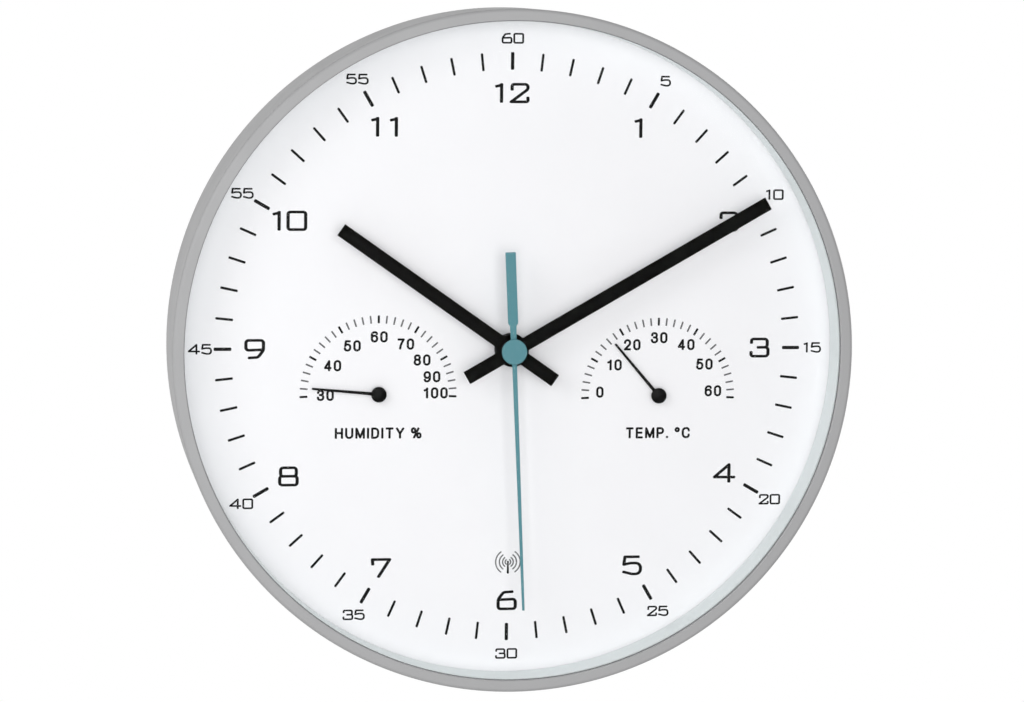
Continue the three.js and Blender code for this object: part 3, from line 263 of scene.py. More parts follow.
def stack(outline, levels, holes=()):
    """A solid whose outline is inset by a distance at each of several depths."""
    solid = bmesh.new()
    rims = [[], []]
    for loop in [outline, *holes]:
        rings = [[solid.verts.new(world(*place, depth)) for place in inset(loop, distance)]
                 for distance, depth in levels]
        wall(solid, rings)
        rims[0].append(rings[0])
        rims[1].append(rings[-1])
    for loops in rims:
        if not holes:
            solid.faces.new(loops[0])
            continue
        edges = [solid.edges.get((loop[i - 1], loop[i])) for loop in loops for i in range(len(loop))]
        bmesh.ops.triangle_fill(solid, edges=edges, use_beauty=True, use_dissolve=False)
    return sealed(solid)


def plate(outline, back, front, rounding=0, holes=()):
    """A flat solid with the rims of its faces rounded."""
    holes = [hole[::-1] for hole in holes]
    if rounding == 0:
        return stack(outline, [(0, back), (0, front)], holes)
    curve = [math.pi / 2 * i / RIM_STEPS for i in range(RIM_STEPS + 1)]
    rising = [(rounding * (1 - math.sin(a)), back + rounding * (1 - math.cos(a))) for a in curve]
    falling = [(distance, front + back - depth) for distance, depth in reversed(rising)]
    return stack(outline, rising + falling, holes)


def merged(meshes):
    """Meshes that don't touch, as one."""
    whole = bmesh.new()
    for mesh in meshes:
        whole.from_mesh(mesh)
        bpy.data.meshes.remove(mesh)
    return mesh_of(whole)


def boolean(mesh, tool, operation):
    """A mesh with a tool mesh joined to it (UNION) or cut out of it (DIFFERENCE)."""
    body = linked("body", mesh)
    cutter = linked("cutter", tool)
    modifier = body.modifiers.new("boolean", "BOOLEAN")
    modifier.operation = operation
    modifier.solver = "MANIFOLD"
    modifier.object = cutter
    bpy.context.view_layer.update()
    evaluated = body.evaluated_get(bpy.context.evaluated_depsgraph_get())
    result = bpy.data.meshes.new_from_object(evaluated)
    bpy.data.objects.remove(body)
    bpy.data.objects.remove(cutter)
    bpy.data.meshes.remove(mesh)
    bpy.data.meshes.remove(tool)
    return result


def cut(mesh, tool):
    return boolean(mesh, tool, "DIFFERENCE")


def disc(centre, radius, back, front, rounding=0, turns=HUB_TURNS):
    return plate(circle(centre, radius, turns), back, front, rounding)


def united(meshes):
    """Meshes joined into one solid."""
    whole, *others = meshes
    for other in others:
        whole = boolean(whole, other, "UNION")
    return whole


# Finishes


def feed(tree, receiver, inputs):
    """Sets a shader node's inputs to values, or links them to other nodes' outputs."""
    for socket, source in inputs.items():
        if isinstance(source, bpy.types.NodeSocket):
            tree.links.new(source, receiver.inputs[socket])
        else:
            receiver.inputs[socket].default_value = source


def node(tree, kind, inputs, operation=None):
    """The outputs of a new shader node."""
    made = tree.nodes.new(kind)
    if operation:
        made.operation = operation
    feed(tree, made, inputs)
    return made.outputs


COAT_ROUGHNESS = 0.08
NOISE_LOW = 0.3  # nearly all of the noise lies between these two
NOISE_HIGH = 0.7
# Waves of the materials' noise for each metre
COLOUR_WAVES = 40
GLOSS_WAVES = 90
METAL_COLOUR_WAVES = 120
STREAK_WAVES = 900
METAL_SHARE = 0.06  # of the colour, darker and lighter
PLASTIC_GLOSS = (0.92, 1.08)  # shares of the roughness
METAL_GLOSS = (0.8, 1.25)
STREAK_HEIGHT = 0.003
PAINT_GRAIN = 0.001
WHITE = (1, 1, 1, 1)
CLEAR_TINT = (0.999, 1, 0.9995, 1)
MIRROR_ROUGHNESS = 0.02
MIRROR_INDEX = 1.05
MATERIALS = {}


def finish(name, colour, roughness, metallic=0, specular=0.5, coat=0):
    """A principled material, kept under its name, with its node tree and its shader."""
    material = MATERIALS[name] = bpy.data.materials.new(name)
    material.use_nodes = True
    tree = material.node_tree
    shader = tree.nodes["Principled BSDF"]
    feed(tree, shader, {
        "Base Color": (*colour, 1), "Roughness": roughness, "Metallic": metallic,
        "Specular IOR Level": specular, "Coat Weight": coat, "Coat Roughness": COAT_ROUGHNESS,
    })
    return material, tree, shader


def noise(tree, scale, detail=3, stretch=(1, 1, 1)):
    """Noise in the object's own space, with its scale in waves for each metre."""
    place = node(tree, "ShaderNodeTexCoord", {})["Object"]
    stretched = node(tree, "ShaderNodeMapping", {"Vector": place, "Scale": stretch})["Vector"]
    return node(tree, "ShaderNodeTexNoise", {"Vector": stretched, "Scale": scale, "Detail": detail})["Fac"]


def glossed(tree, shader, factor, roughness, shares):
    """Varies the shader's roughness between two shares of it, along noise."""
    low, high = (roughness * share for share in shares)
    span = {"Value": factor, "From Min": NOISE_LOW, "From Max": NOISE_HIGH, "To Min": low, "To Max": high}
    feed(tree, shader, {"Roughness": node(tree, "ShaderNodeMapRange", span)["Result"]})


def tinted(tree, shader, factor, colour, share):
    """Varies the shader's colour by a share, darker and lighter, along noise."""
    ramp = tree.nodes.new("ShaderNodeValToRGB")
    dark, light = ramp.color_ramp.elements
    dark.position = NOISE_LOW
    light.position = NOISE_HIGH
    dark.color = (*[c * (1 - share) for c in colour], 1)
    light.color = (*[min(c * (1 + share), 1) for c in colour], 1)
    feed(tree, ramp, {"Fac": factor})
    feed(tree, shader, {"Base Color": ramp.outputs["Color"]})


def grained(tree, shader, factor, height):
    """Bumps the shader's surface by a height in millimetres along a factor."""
    bump = node(tree, "ShaderNodeBump", {"Strength": 1, "Distance": height * MM, "Height": factor})
    feed(tree, shader, {"Normal": bump["Normal"]})


def plastic(name, colour, roughness, grain=0.004, grain_scale=2500, specular=0.5, coat=0, share=0.015):
    """Moulded plastic with a fine grain, and a slow drift in its colour and gloss."""
    material, tree, shader = finish(name, colour, roughness, 0, specular, coat)
    tinted(tree, shader, noise(tree, COLOUR_WAVES, 2), colour, share)
    glossed(tree, shader, noise(tree, GLOSS_WAVES), roughness, PLASTIC_GLOSS)
    grained(tree, shader, noise(tree, grain_scale), grain)
    return material


def paint(name, colour, roughness=0.6, specular=0.1):
    return plastic(name, colour, roughness, PAINT_GRAIN, specular=specular)


def metal(name, colour, roughness, stretch=(1, 1, 1)):
    """Metal with drawn or rolled streaks along one direction."""
    material, tree, shader = finish(name, colour, roughness, 1)
    streaks = noise(tree, STREAK_WAVES, 4, stretch)
    tinted(tree, shader, noise(tree, METAL_COLOUR_WAVES), colour, METAL_SHARE)
    glossed(tree, shader, streaks, roughness, METAL_GLOSS)
    grained(tree, shader, streaks, STREAK_HEIGHT)
    return material


def glass(name):
    """Clear glass that mirrors little at the front and more at a slant."""
    material = MATERIALS[name] = bpy.data.materials.new(name)
    material.use_nodes = True
    tree = material.node_tree
    tree.nodes.remove(tree.nodes["Principled BSDF"])
    clear = node(tree, "ShaderNodeBsdfTransparent", {"Color": CLEAR_TINT})["BSDF"]
    mirror = node(tree, "ShaderNodeBsdfGlossy", {"Roughness": MIRROR_ROUGHNESS, "Color": WHITE})["BSDF"]
    slant = node(tree, "ShaderNodeFresnel", {"IOR": MIRROR_INDEX})["Fac"]
    mixed = node(tree, "ShaderNodeMixShader", {"Fac": slant, 1: clear, 2: mirror})["Shader"]
    feed(tree, tree.nodes["Material Output"], {"Surface": mixed})


# One for each of the solids' slots
plastic("case_silver", (0.365, 0.365, 0.37), 0.48, grain=0.003, grain_scale=4000, specular=0.36)
glass("glass")
plastic("dial_white", (0.905, 0.9, 0.92), 0.6, grain=0.002, specular=0.15, share=0.006)
plastic("spacer_white", (0.76, 0.81, 0.81), 0.5, specular=0.2)
plastic("back_white", (0.62, 0.62, 0.61), 0.5, grain=0.012, grain_scale=1800)
plastic("movement_black", (0.02, 0.02, 0.022), 0.5, grain=0.012, grain_scale=1800)
paint("hand_black", (0.003, 0.003, 0.0025), specular=0.01)
paint("hand_teal", (0.097, 0.257, 0.295), 0.5)
paint("pointer_black", (0.003, 0.003, 0.003), 0.2, specular=0.04)
metal("brass", (0.6, 0.43, 0.17), 0.3)
metal("bimetal", (0.55, 0.4, 0.2), 0.35)
metal("steel", (0.37, 0.38, 0.39), 0.5, (1, 1, 12))
plastic("circuit", (0.02, 0.14, 0.06), 0.35, coat=0.4)
metal("copper", (0.45, 0.16, 0.07), 0.35, (1, 1, 20))
plastic("ferrite", (0.05, 0.05, 0.055), 0.6, grain=0.01, grain_scale=3000)
plastic("rubber", (0.02, 0.02, 0.02), 0.85, grain=0.01)
plastic("gear_plastic", (0.78, 0.75, 0.68), 0.45)
plastic("battery_wrap", (0.12, 0.2, 0.27), 0.3, coat=0.5)
plastic("button_grey", (0.55, 0.56, 0.57), 0.45)
INK = paint("black_ink", (0.004, 0.004, 0.004))
GREY_INK = paint("grey_ink", (0.13, 0.13, 0.135))
# Mid grey for a ring in the gap under the lip: painted shade that darkens the lip's inner edge like the
# shadow in that gap
PAINTED_SHADE_GREY = paint("painted_shade_grey", (0.2, 0.205, 0.21), 0.7)
PALE_PRINT = paint("pale_print", (0.5, 0.5, 0.5))


def piece(name, mesh, body, slot, replaced=(), material=None):
    """A mesh as a piece that rides on a body and may stand for solids."""
    mesh.name = name
    mesh.materials.clear()
    mesh.materials.append(material or MATERIALS[slot])
    mesh.shade_smooth()
    mesh.set_sharp_from_angle(angle=SHARP_ANGLE)
    obj = linked(name, mesh)
    weighted = obj.modifiers.new("weighted", "WEIGHTED_NORMAL")
    weighted.keep_sharp = True
    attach(obj, body)
    if replaced:
        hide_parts(*replaced)


def ink(name, mesh, material=INK):
    """Print on the dial, as a piece of the case."""
    piece(name, mesh, "case", "pointer_black", material=material)


for part in frame["record"]["subparts"]:
    materials = frame["nodes"][part["node"]].data.materials
    materials.clear()
    materials.append(MATERIALS[part["material_slot"]])
frame["nodes"]["center_nut"].data.materials[0] = MATERIALS["rubber"]  # painted shade: black rubber on the nut stands for the shade between the hands


# Camera, at the photograph's viewing angle, and lamps. Angles are in degrees, distances
# and sizes in metres and power in watts.

PHOTO_WIDTH = 1024
PHOTO_HEIGHT = 702
AIM_DEPTH = 20  # millimetres
VIEW_AZIMUTH = -8
VIEW_ELEVATION = 5.75
VIEW_ROLL = 0.63
VIEW_DISTANCE = 1.4
FOCAL_PIXELS = 3783
SENSOR_WIDTH = 36
CENTRE_COLUMN = 507.6  # where the hands' axis stands in the photograph
CENTRE_ROW = 347.0
CLIP_START = 0.01


def aimed(name, data, azimuth, elevation, distance, roll=0):
    """A camera or a lamp that looks at the dial."""
    across, up = math.radians(azimuth), math.radians(elevation)
    back = Vector((math.sin(across) * math.cos(up), -math.cos(across) * math.cos(up), math.sin(up)))
    obj = linked(name, data)
    obj.location = world(0, 0, AIM_DEPTH) + back * distance
    upright = (-back).to_track_quat("-Z", "Y")
    obj.rotation_euler = (upright @ Quaternion((0, 0, 1), math.radians(roll))).to_euler()
    return obj


def photo_camera():
    data = bpy.data.cameras.new("photo_camera")
    data.sensor_width = SENSOR_WIDTH
    data.lens = FOCAL_PIXELS / PHOTO_WIDTH * SENSOR_WIDTH
    data.shift_x = 0.5 - CENTRE_COLUMN / PHOTO_WIDTH
    data.shift_y = (CENTRE_ROW - PHOTO_HEIGHT / 2) / PHOTO_WIDTH
    data.clip_start = CLIP_START
    scene.camera = aimed("photo_camera", data, VIEW_AZIMUTH, VIEW_ELEVATION, VIEW_DISTANCE, VIEW_ROLL)


# Azimuth, elevation, distance, size and power
SOFTBOXES = {
    "front_softbox": (-3, 2.5, 1.3, (0.9, 0.8), 8.4),
    "key_softbox": (-46, 20, 0.6, (0.3, 0.3), 0.75),
    "side_softbox": (-84, 0, 1.2, (0.5, 0.8), 1.7),
    "rear_softbox": (145, 4, 1.4, (1.2, 0.9), 7),
}
WORLD_LEVEL = 0.41
FLOOR_COLOUR = (0.86, 0.86, 0.86)
FLOOR_ROUGHNESS = 0.8
FLOOR_GRAIN_WAVES = 300
FLOOR_GRAIN = 0.2  # millimetres
FLOOR_DROP = 0.14  # below the clock
FLOOR_SOLID = 0.3  # from the middle to where it starts to fade
FLOOR_END = 0.58
FLOOR_LIFT = 0.42  # what the eye sees of the floor beside the light that falls on it


def softbox(name, azimuth, elevation, distance, size, power):
    data = bpy.data.lights.new(name, "AREA")
    data.shape = "RECTANGLE"
    data.size, data.size_y = size
    data.energy = power
    aimed(name, data, azimuth, elevation, distance)


def white_world():
    """White for the eye, for mirrors and through glass, and a softer level for the light."""
    surroundings = bpy.data.worlds.new("studio")
    scene.world = surroundings
    surroundings.use_nodes = True
    tree = surroundings.node_tree
    path = node(tree, "ShaderNodeLightPath", {})
    seen = path["Is Camera Ray"]
    for ray in ("Is Glossy Ray", "Is Transmission Ray"):
        seen = node(tree, "ShaderNodeMath", {0: seen, 1: path[ray]}, operation="MAXIMUM")["Value"]
    level = node(tree, "ShaderNodeMapRange", {"Value": seen, "To Min": WORLD_LEVEL, "To Max": 1})
    feed(tree, tree.nodes["Background"], {"Color": WHITE, "Strength": level["Result"]})


def pale_floor():
    """A round floor that keeps the clock's shadow and fades out into the white."""
    material, tree, shader = finish("floor_white", FLOOR_COLOUR, FLOOR_ROUGHNESS, specular=0.1)
    grained(tree, shader, noise(tree, FLOOR_GRAIN_WAVES), FLOOR_GRAIN)
    seen = node(tree, "ShaderNodeLightPath", {})["Is Camera Ray"]
    lift = node(tree, "ShaderNodeMath", {0: seen, 1: FLOOR_LIFT}, operation="MULTIPLY")["Value"]
    place = node(tree, "ShaderNodeTexCoord", {})["Object"]
    distance = node(tree, "ShaderNodeVectorMath", {0: place}, operation="LENGTH")["Value"]
    span = {"Value": distance, "From Min": FLOOR_SOLID, "From Max": FLOOR_END, "To Min": 1, "To Max": 0}
    fade = node(tree, "ShaderNodeMapRange", span)["Result"]
    fade.node.interpolation_type = "SMOOTHSTEP"
    feed(tree, shader, {"Emission Color": WHITE, "Emission Strength": lift, "Alpha": fade})

    sheet = bmesh.new()
    bmesh.ops.create_circle(sheet, cap_ends=True, segments=CIRCLE_TURNS, radius=FLOOR_END)
    floor = linked("floor", mesh_of(sheet))
    floor.data.materials.append(material)
    floor.location = (0, 0, cad_box[0][2] - FLOOR_DROP)


# Case: ring, a grey ring of painted shade under the lip, glass, spacer and dial

LIP_WIDTH = 4.2
LIP_ROUNDING = 1.3
LIP_EDGE_ROUNDING = 0.3
LIP_BACK_ROUNDING = 0.15
LIP_GAP = 0.3  # between the lip and the glass, where a grey ring of painted shade lies
RING_WALL = 2.2
REAR_OUTER_ROUNDING = 0.5
REAR_INNER_ROUNDING = 0.3
LOCK_BACK = 8  # of the groove that the shell's hooks lock into
LOCK_FRONT = 10
LOCK_DEPTH = 1
SHADE_REACH = 0.25  # past the lip's inner edge
SHADE_LAP = 0.5  # from the glass's rim inwards to where the grey ring of painted shade ends
SHADE_PLAY = 0.02
GLASS_EDGE = 0.35
SPACER_WIDTH = 1.7
SPACER_ROUNDINGS = (0.25, 0.1, 0.1, 0.4)
DIAL_THICKNESS = 1.3
DIAL_ROUNDING = 0.1
DIAL_BORE = 5
SPINDLE_BORE = 1.1
SPINDLE_BORE_TURNS = 32


def case_ring():
    ring = extent("front_ring")
    inner = ring.right - LIP_WIDTH
    wall_inner = ring.right - RING_WALL
    lip_back = extent("lens_glass").front + LIP_GAP
    profile = rounded([
        (ring.right, ring.back, REAR_OUTER_ROUNDING), (ring.right, ring.front, LIP_ROUNDING),
        (inner, ring.front, LIP_EDGE_ROUNDING), (inner, lip_back, LIP_BACK_ROUNDING),
        (wall_inner, lip_back, 0), (wall_inner, LOCK_FRONT, 0),
        (wall_inner + LOCK_DEPTH, LOCK_FRONT, 0), (wall_inner + LOCK_DEPTH, LOCK_BACK, 0),
        (wall_inner, LOCK_BACK, 0), (wall_inner, ring.back, REAR_INNER_ROUNDING),
    ])
    piece("silver_ring", lathe(profile), "case", "case_silver", ["front_ring"])


def lens_and_spacer():
    lens = extent("lens_glass")
    # A grey ring in the gap between the lip and the glass is painted shade: it darkens the lip's inner edge
    inner = extent("front_ring").right - LIP_WIDTH - SHADE_REACH
    shade_profile = section(inner, lens.right - SHADE_LAP, lens.front + SHADE_PLAY, lens.front + LIP_GAP - SHADE_PLAY,
                   (0, 0, 0, 0))
    piece("lip_painted_shade", lathe(shade_profile), "case", "pointer_black", material=PAINTED_SHADE_GREY)
    profile = section(0, lens.right, lens.back, lens.front, (0, GLASS_EDGE, GLASS_EDGE, 0))
    piece("flat_lens", lathe(profile), "case", "glass", ["lens_glass"])
    spacer = extent("spacer_ring")
    inner = spacer.right - SPACER_WIDTH
    profile = section(inner, spacer.right, spacer.back, spacer.front, SPACER_ROUNDINGS)
    piece("pale_spacer", lathe(profile), "case", "spacer_white", ["spacer_ring"])


def white_dial():
    sides = extent("dial_plate")
    spindles = [centre_of(name) for name in ("hygro_spindle", "thermo_spindle")]
    holes = [circle((0, 0), DIAL_BORE, FINE_TURNS)]
    holes += [circle(place, SPINDLE_BORE, SPINDLE_BORE_TURNS) for place in spindles]
    sheet = plate(circle((0, 0), sides.right, CIRCLE_TURNS), sides.front - DIAL_THICKNESS, sides.front,
                  DIAL_ROUNDING, holes)
    piece("white_dial", sheet, "case", "dial_white", ["dial_plate"])


# Letters and digits, drawn with a flat pen. Corners are given in shares of the height
# between the pen's lowest and highest place, as right, up and any rounding.


def line(*corners):
    return [(*corner, 0)[:3] for corner in corners], False


def loop(*corners):
    return [(*corner, 0)[:3] for corner in corners], True


def box(left, right, bottom, top, rounding):
    return loop(*[(x, y, rounding)
                  for x, y in ((left, bottom), (right, bottom), (right, top), (left, top))])


def turned_about(strokes):
    """A letter turned half way round."""
    right = max(x for corners, _ in strokes for x, _, _ in corners)
    return [([(right - x, 1 - y, radius) for x, y, radius in corners], closed)
            for corners, closed in strokes]


# Wide, squarish digits for the hours and the minutes
WIDE_STROKES = {
    "0": [box(0, 1, 0, 1, .13)],
    "1": [line((0, .88), (.3, .95)), line((.3, 1), (.3, 0))],
    "2": [line((.07, .7), (.07, 1, .12), (.985, 1, .16), (.985, .72, .2), (.02, 0),
               (1, 0, .1), (.985, .24))],
    "3": [line((.02, .78), (.02, 1, .12), (.95, 1, .16), (.95, .515, .16), (.4, .515)),
          line((.75, .515), (1, .515, .16), (1, 0, .16), (0, 0, .12), (0, .24))],
    "4": [line((.86, 0), (.86, 1), (0, .27)), line((0, .27), (1.17, .26))],
    "5": [line((.88, 1), (.08, 1), (.02, .55), (.4, .63, .3), (1, .63, .28), (1, 0, .28),
               (.5, -.01, .5), (0, .12))],
    "6": [line((.82, 1), (.3, .97, .25), (0, .55, .3), (0, 0, .15), (1, 0, .15), (1, .57, .16), (.5, .55)),
          line((.6, .555), (.04, .535))],
    "7": [line((.02, .72), (0, 1), (1, 1), (.36, 0))],
    "8": [box(0, 1, 0, .51, .15), box(.05, .95, .51, 1, .15)],
}
WIDE_STROKES["9"] = turned_about(WIDE_STROKES["6"])
WIDE_FACE = SimpleNamespace(
    strokes=WIDE_STROKES, lead={"1": .37, "2": .155}, trail={"1": .21}, usual_lead=.11, usual_trail=-.02)

# Upright, evenly round digits and capitals for the instruments and the movement
PLAIN_STROKES = {
    "0": [box(0, .57, 0, 1, .28)],
    "1": [line((0, .77), (.28, .86)), line((.28, 1), (.28, 0))],
    "2": [line((0, .7), (0, 1, .27), (.55, 1, .27), (.55, .56, .3), (0, 0), (.57, 0))],
    "3": [line((.02, .75), (.02, 1, .22), (.53, 1, .23), (.53, .53, .22), (.2, .53)),
          line((.3, .53), (.57, .53, .24), (.57, 0, .26), (0, 0, .23), (0, .27))],
    "4": [line((.44, 0), (.44, 1), (0, .25)), line((0, .25), (.6, .25))],
    "5": [line((.53, 1), (.11, 1), (.03, .47)),
          line((.04, .5), (.16, .65, .1), (.57, .65, .27), (.57, 0, .28), (0, 0, .22), (0, .26))],
    "6": [line((.55, .8), (.5, 1, .2), (0, 1, .3), (0, .3)),
          loop((0, 0, .28), (.57, 0, .28), (.57, .62, .27), (0, .62, .27))],
    "7": [line((0, 1), (.57, 1), (.28, .45, .7), (.19, 0))],
    "8": [box(0, .57, 0, .53, .26), box(.03, .54, .53, 1, .23)],
    "C": [line((.66, .72), (.64, 1, .24), (0, 1, .33), (0, 0, .33), (.64, 0, .24), (.66, .29))],
    "D": [loop((0, 0), (.64, 0, .36), (.64, 1, .36), (0, 1))],
    "E": [line((.56, 1), (0, 1), (0, 0), (.58, 0)), line((0, .52), (.52, .52))],
    "H": [line((0, 0), (0, 1)), line((.66, 0), (.66, 1)), line((0, .52), (.66, .52))],
    "I": [line((0, 0), (0, 1))],
    "M": [line((0, 0), (0, 1), (.4, .05), (.8, 1), (.8, 0))],
    "P": [line((0, 0), (0, 1)), line((0, 1), (.6, 1, .26), (.6, .46, .26), (0, .46))],
    "R": [line((0, 0), (0, 1)), line((0, 1), (.58, 1, .25), (.58, .48, .25), (0, .48)),
          line((.32, .48), (.62, 0))],
    "S": [line((.57, .75), (.57, 1, .22), (.03, 1, .24), (.03, .52, .22), (.6, .52, .23), (.6, 0, .26),
               (0, 0, .22), (0, .26))],
    "T": [line((0, 1), (.66, 1)), line((.33, 1), (.33, 0))],
    "U": [line((0, 1), (0, 0, .32), (.66, 0, .32), (.66, 1))],
    "Y": [line((0, 1), (.35, .45), (.7, 1)), line((.35, .45), (.35, 0))],
    ".": [line((0, 0), (0, .05))],
    "%": [box(0, .34, .55, 1, .165), line((.22, 0), (.7, 1)), box(.58, .92, 0, .45, .165)],
    "\N{DEGREE SIGN}": [box(0, .34, .66, 1, .165)],
    "+": [line((0, .5), (.8, .5)), line((.4, .1), (.4, .9))],
    "-": [line((0, .5), (.8, .5))],
}
PLAIN_STROKES["9"] = turned_about(PLAIN_STROKES["6"])
PLAIN_FACE = SimpleNamespace(
    strokes=PLAIN_STROKES, lead={}, trail={"1": .08}, usual_lead=.21, usual_trail=0)
SPACE = .5
SHALLOW_TURN = 0.3  # below it, as a sine, a stroke's edge runs on without a corner
JOIN_STEPS = 4
END_SHAPE = ((0.92, 0.45), (0.65, 0.7), (0, 0.78), (-0.65, 0.7), (-0.92, 0.45))  # across and along


def nib(normal, pen):
    """How far the edge of an elliptical pen lies from its centre, towards a normal."""
    reach = math.hypot(pen[0] * normal.x, pen[1] * normal.y)
    return Vector((pen[0] ** 2 * normal.x, pen[1] ** 2 * normal.y)) / reach


def left_normal(direction):
    return Vector((-direction.y, direction.x)).normalized()


def edge_points(path, i, closed, pen, side):
    """The points of one edge of a pen stroke beside the i-th point of its path."""
    here = path[i]
    before = (here - path[i - 1]).normalized() if closed or i > 0 else None
    after = (path[(i + 1) % len(path)] - here).normalized() if closed or i < len(path) - 1 else None
    before = before or after
    after = after or before
    first, last = left_normal(before) * side, left_normal(after) * side
    one, other = nib(first, pen), nib(last, pen)
    turn = before.cross(after)
    if abs(turn) < SHALLOW_TURN and before.dot(after) > 0:
        return [here + (one + other) / 2]
    if turn * side > 0:
        return [here + one + before * ((other - one).cross(after) / turn)]  # where both edges meet
    sweep = math.degrees(math.atan2(last.cross(first), first.dot(last)))
    return [here + nib(placed([first], clockwise=sweep * step / JOIN_STEPS)[0], pen)
            for step in range(JOIN_STEPS + 1)]


def stroke_end(path, pen):
    """The blunt, slightly rounded end of a stroke, from its right to its left edge."""
    out = (path[-1] - path[-2]).normalized()
    side = nib(left_normal(out), pen)
    reach = nib(out, pen).length
    return [path[-1] - side * across + out * reach * along for across, along in END_SHAPE]


def drawn(path, closed, pen, back, front):
    """The pen's stroke along a path, as a thin solid."""
    left, right = ([p for i in range(len(path)) for p in edge_points(path, i, closed, pen, side)]
                   for side in (1, -1))
    if closed:
        hole = plate(left, back - CUT_PAST, front + CUT_PAST)
        return cut(plate(right, back, front), hole)
    edge = right + stroke_end(path, pen) + left[::-1] + stroke_end(path[::-1], pen)
    return plate(edge, back, front)


def word_strokes(text, face, height, pen):
    """The strokes of a word, each as a group, corners and closedness, and the word's width."""
    strokes = []
    cursor = 0
    for place, letter in enumerate(text):
        if letter == " ":
            cursor += SPACE * height
            continue
        shapes = face.strokes[letter]
        places = [x for corners, _ in shapes for x, _, _ in corners]
        if place > 0:
            cursor += face.lead.get(letter, face.usual_lead) * height
        shift = cursor + pen[0] - min(places) * height
        for group, (corners, closed) in enumerate(shapes):
            moved = [(x * height + shift, (y - 0.5) * height, r * height) for x, y, r in corners]
            strokes.append((group, moved, closed))
        cursor += (max(places) - min(places)) * height + 2 * pen[0]
        if place < len(text) - 1:
            cursor += face.trail.get(letter, face.usual_trail) * height
    return strokes, cursor


def words_solid(words, face, height, pen, depths, mirror=1):
    """Words as one thin solid, each given as a text and its centre.

    A mirror of -1 turns each word round, to be read from behind.
    """
    groups = {}
    for text, centre in words:
        strokes, width = word_strokes(text, face, height, pen)
        for group, corners, closed in strokes:
            path = rounded([(centre[0] + mirror * (x - width / 2), centre[1] + y, r)
                            for x, y, r in corners], closed)
            if closed and mirror < 0:
                path.reverse()
            groups.setdefault(group, []).append(drawn(path, closed, pen, *depths))
    return united([merged(groups[group]) for group in sorted(groups)])


DIAL_FACE = extent("dial_plate").front
INK_DEPTHS = (DIAL_FACE - INK_SUNK, DIAL_FACE + INK_PROUD)
# Numbers from twelve o'clock on, the radius of their ring, their height and the pen
NUMBER_RINGS = {
    "hour_numbers": (
        ["12", "1", "2", "3", "4", "5", "6", "7", "8", "9", "10", "11"], 94, 6.42, (0.61, 0.51)),
    "minute_numbers": (
        ["60", "5", "10", "15", "20", "25", "30", "35", "40", "45", "55", "55"], 114, 3.3, (0.35, 0.32)),
}


def dial_numbers():
    for name, (numbers, radius, height, pen) in NUMBER_RINGS.items():
        words = [(text, placed([(0, radius)], clockwise=30 * hour)[0]) for hour, text in enumerate(numbers)]
        ink(name, words_solid(words, WIDE_FACE, height, pen, INK_DEPTHS))


TICK_INNER = 102.5
TICK_OUTER = 109
HOUR_TICK_WIDTH = 1.25
MINUTE_TICK_WIDTH = 0.92
TICK_ROUNDING = 0.35  # of the width


def minute_ticks():
    ticks = []
    for minute in range(60):
        width = HOUR_TICK_WIDTH if minute % 5 == 0 else MINUTE_TICK_WIDTH
        bar = rectangle(-width / 2, width / 2, TICK_INNER, TICK_OUTER, width * TICK_ROUNDING)
        ticks.append(plate(placed(bar, clockwise=6 * minute), *INK_DEPTHS))
    ink("minute_ticks", merged(ticks))


SIGNAL_PLACE = (0.3, -79.6)
SIGNAL_RADII = (1.05, 2.0, 3.2, 4.6)
SIGNAL_HALF_SPREAD = 55
SIGNAL_PEN = (0.24, 0.24)
MAST_LENGTH = 4.4
MAST_TOP_HALF = 0.28
MAST_FOOT_HALF = 0.42
MAST_FOOT_ROUNDING = 0.3
MAST_HEAD = 0.42


def signal_waves(centre, scale, depths):
    """Waves to both sides of a mast's head."""
    half = math.radians(SIGNAL_HALF_SPREAD)
    waves = []
    for radius in SIGNAL_RADII:
        for heading in (0, math.pi):
            path = arc(Vector(centre), radius * scale, heading - half, heading + half)
            waves.append(drawn(path, False, SIGNAL_PEN, *depths))
    return merged(waves)


def radio_signal():
    """A common sign for radio reception, above the six: waves round a mast with a round head."""
    ink("signal_waves", signal_waves(SIGNAL_PLACE, 1, INK_DEPTHS), GREY_INK)
    shaft = symmetrical([(MAST_FOOT_HALF, -MAST_LENGTH, MAST_FOOT_ROUNDING), (MAST_TOP_HALF, 0, 0)])
    head = disc(SIGNAL_PLACE, MAST_HEAD, *INK_DEPTHS, turns=FINE_TURNS)
    ink("signal_mast", united([plate(placed(shaft, SIGNAL_PLACE), *INK_DEPTHS), head]))


# Instruments: scales, words, pointers and caps

SCALE_DIVISIONS = 30
SCALE_HALF_SWEEP = 92
# The radius of the ticks' outer ends, and the words' centres from the spindle
SCALES = {
    "hygro": (29.0, {
        "30": (-19.5, -0.4), "40": (-16.9, 10.5), "50": (-9.7, 17.8), "60": (0.2, 21.1), "70": (10, 18.4),
        "80": (16.1, 12.5), "90": (19.8, 6.3), "100": (21.2, 0.3), "HUMIDITY %": (0.1, -14.5),
    }),
    "thermo": (28.8, {
        "0": (-21.8, 1.2), "10": (-16.5, 11.3), "20": (-9.9, 18.8), "30": (0.2, 21.4), "40": (10.4, 18.8),
        "50": (17.4, 11.5), "60": (20.8, 1.5), "TEMP. \N{DEGREE SIGN}C": (0.2, -14.1),
    }),
}
SCALE_TICK_LENGTH = 2.9
FINE_TICK_WIDTH = 0.6
BOLD_TICK_WIDTH = 0.8
SCALE_TICK_ROUNDING = 0.3  # of the width
LABEL_HEIGHT = 3.4
LABEL_PEN = (0.42, 0.4)


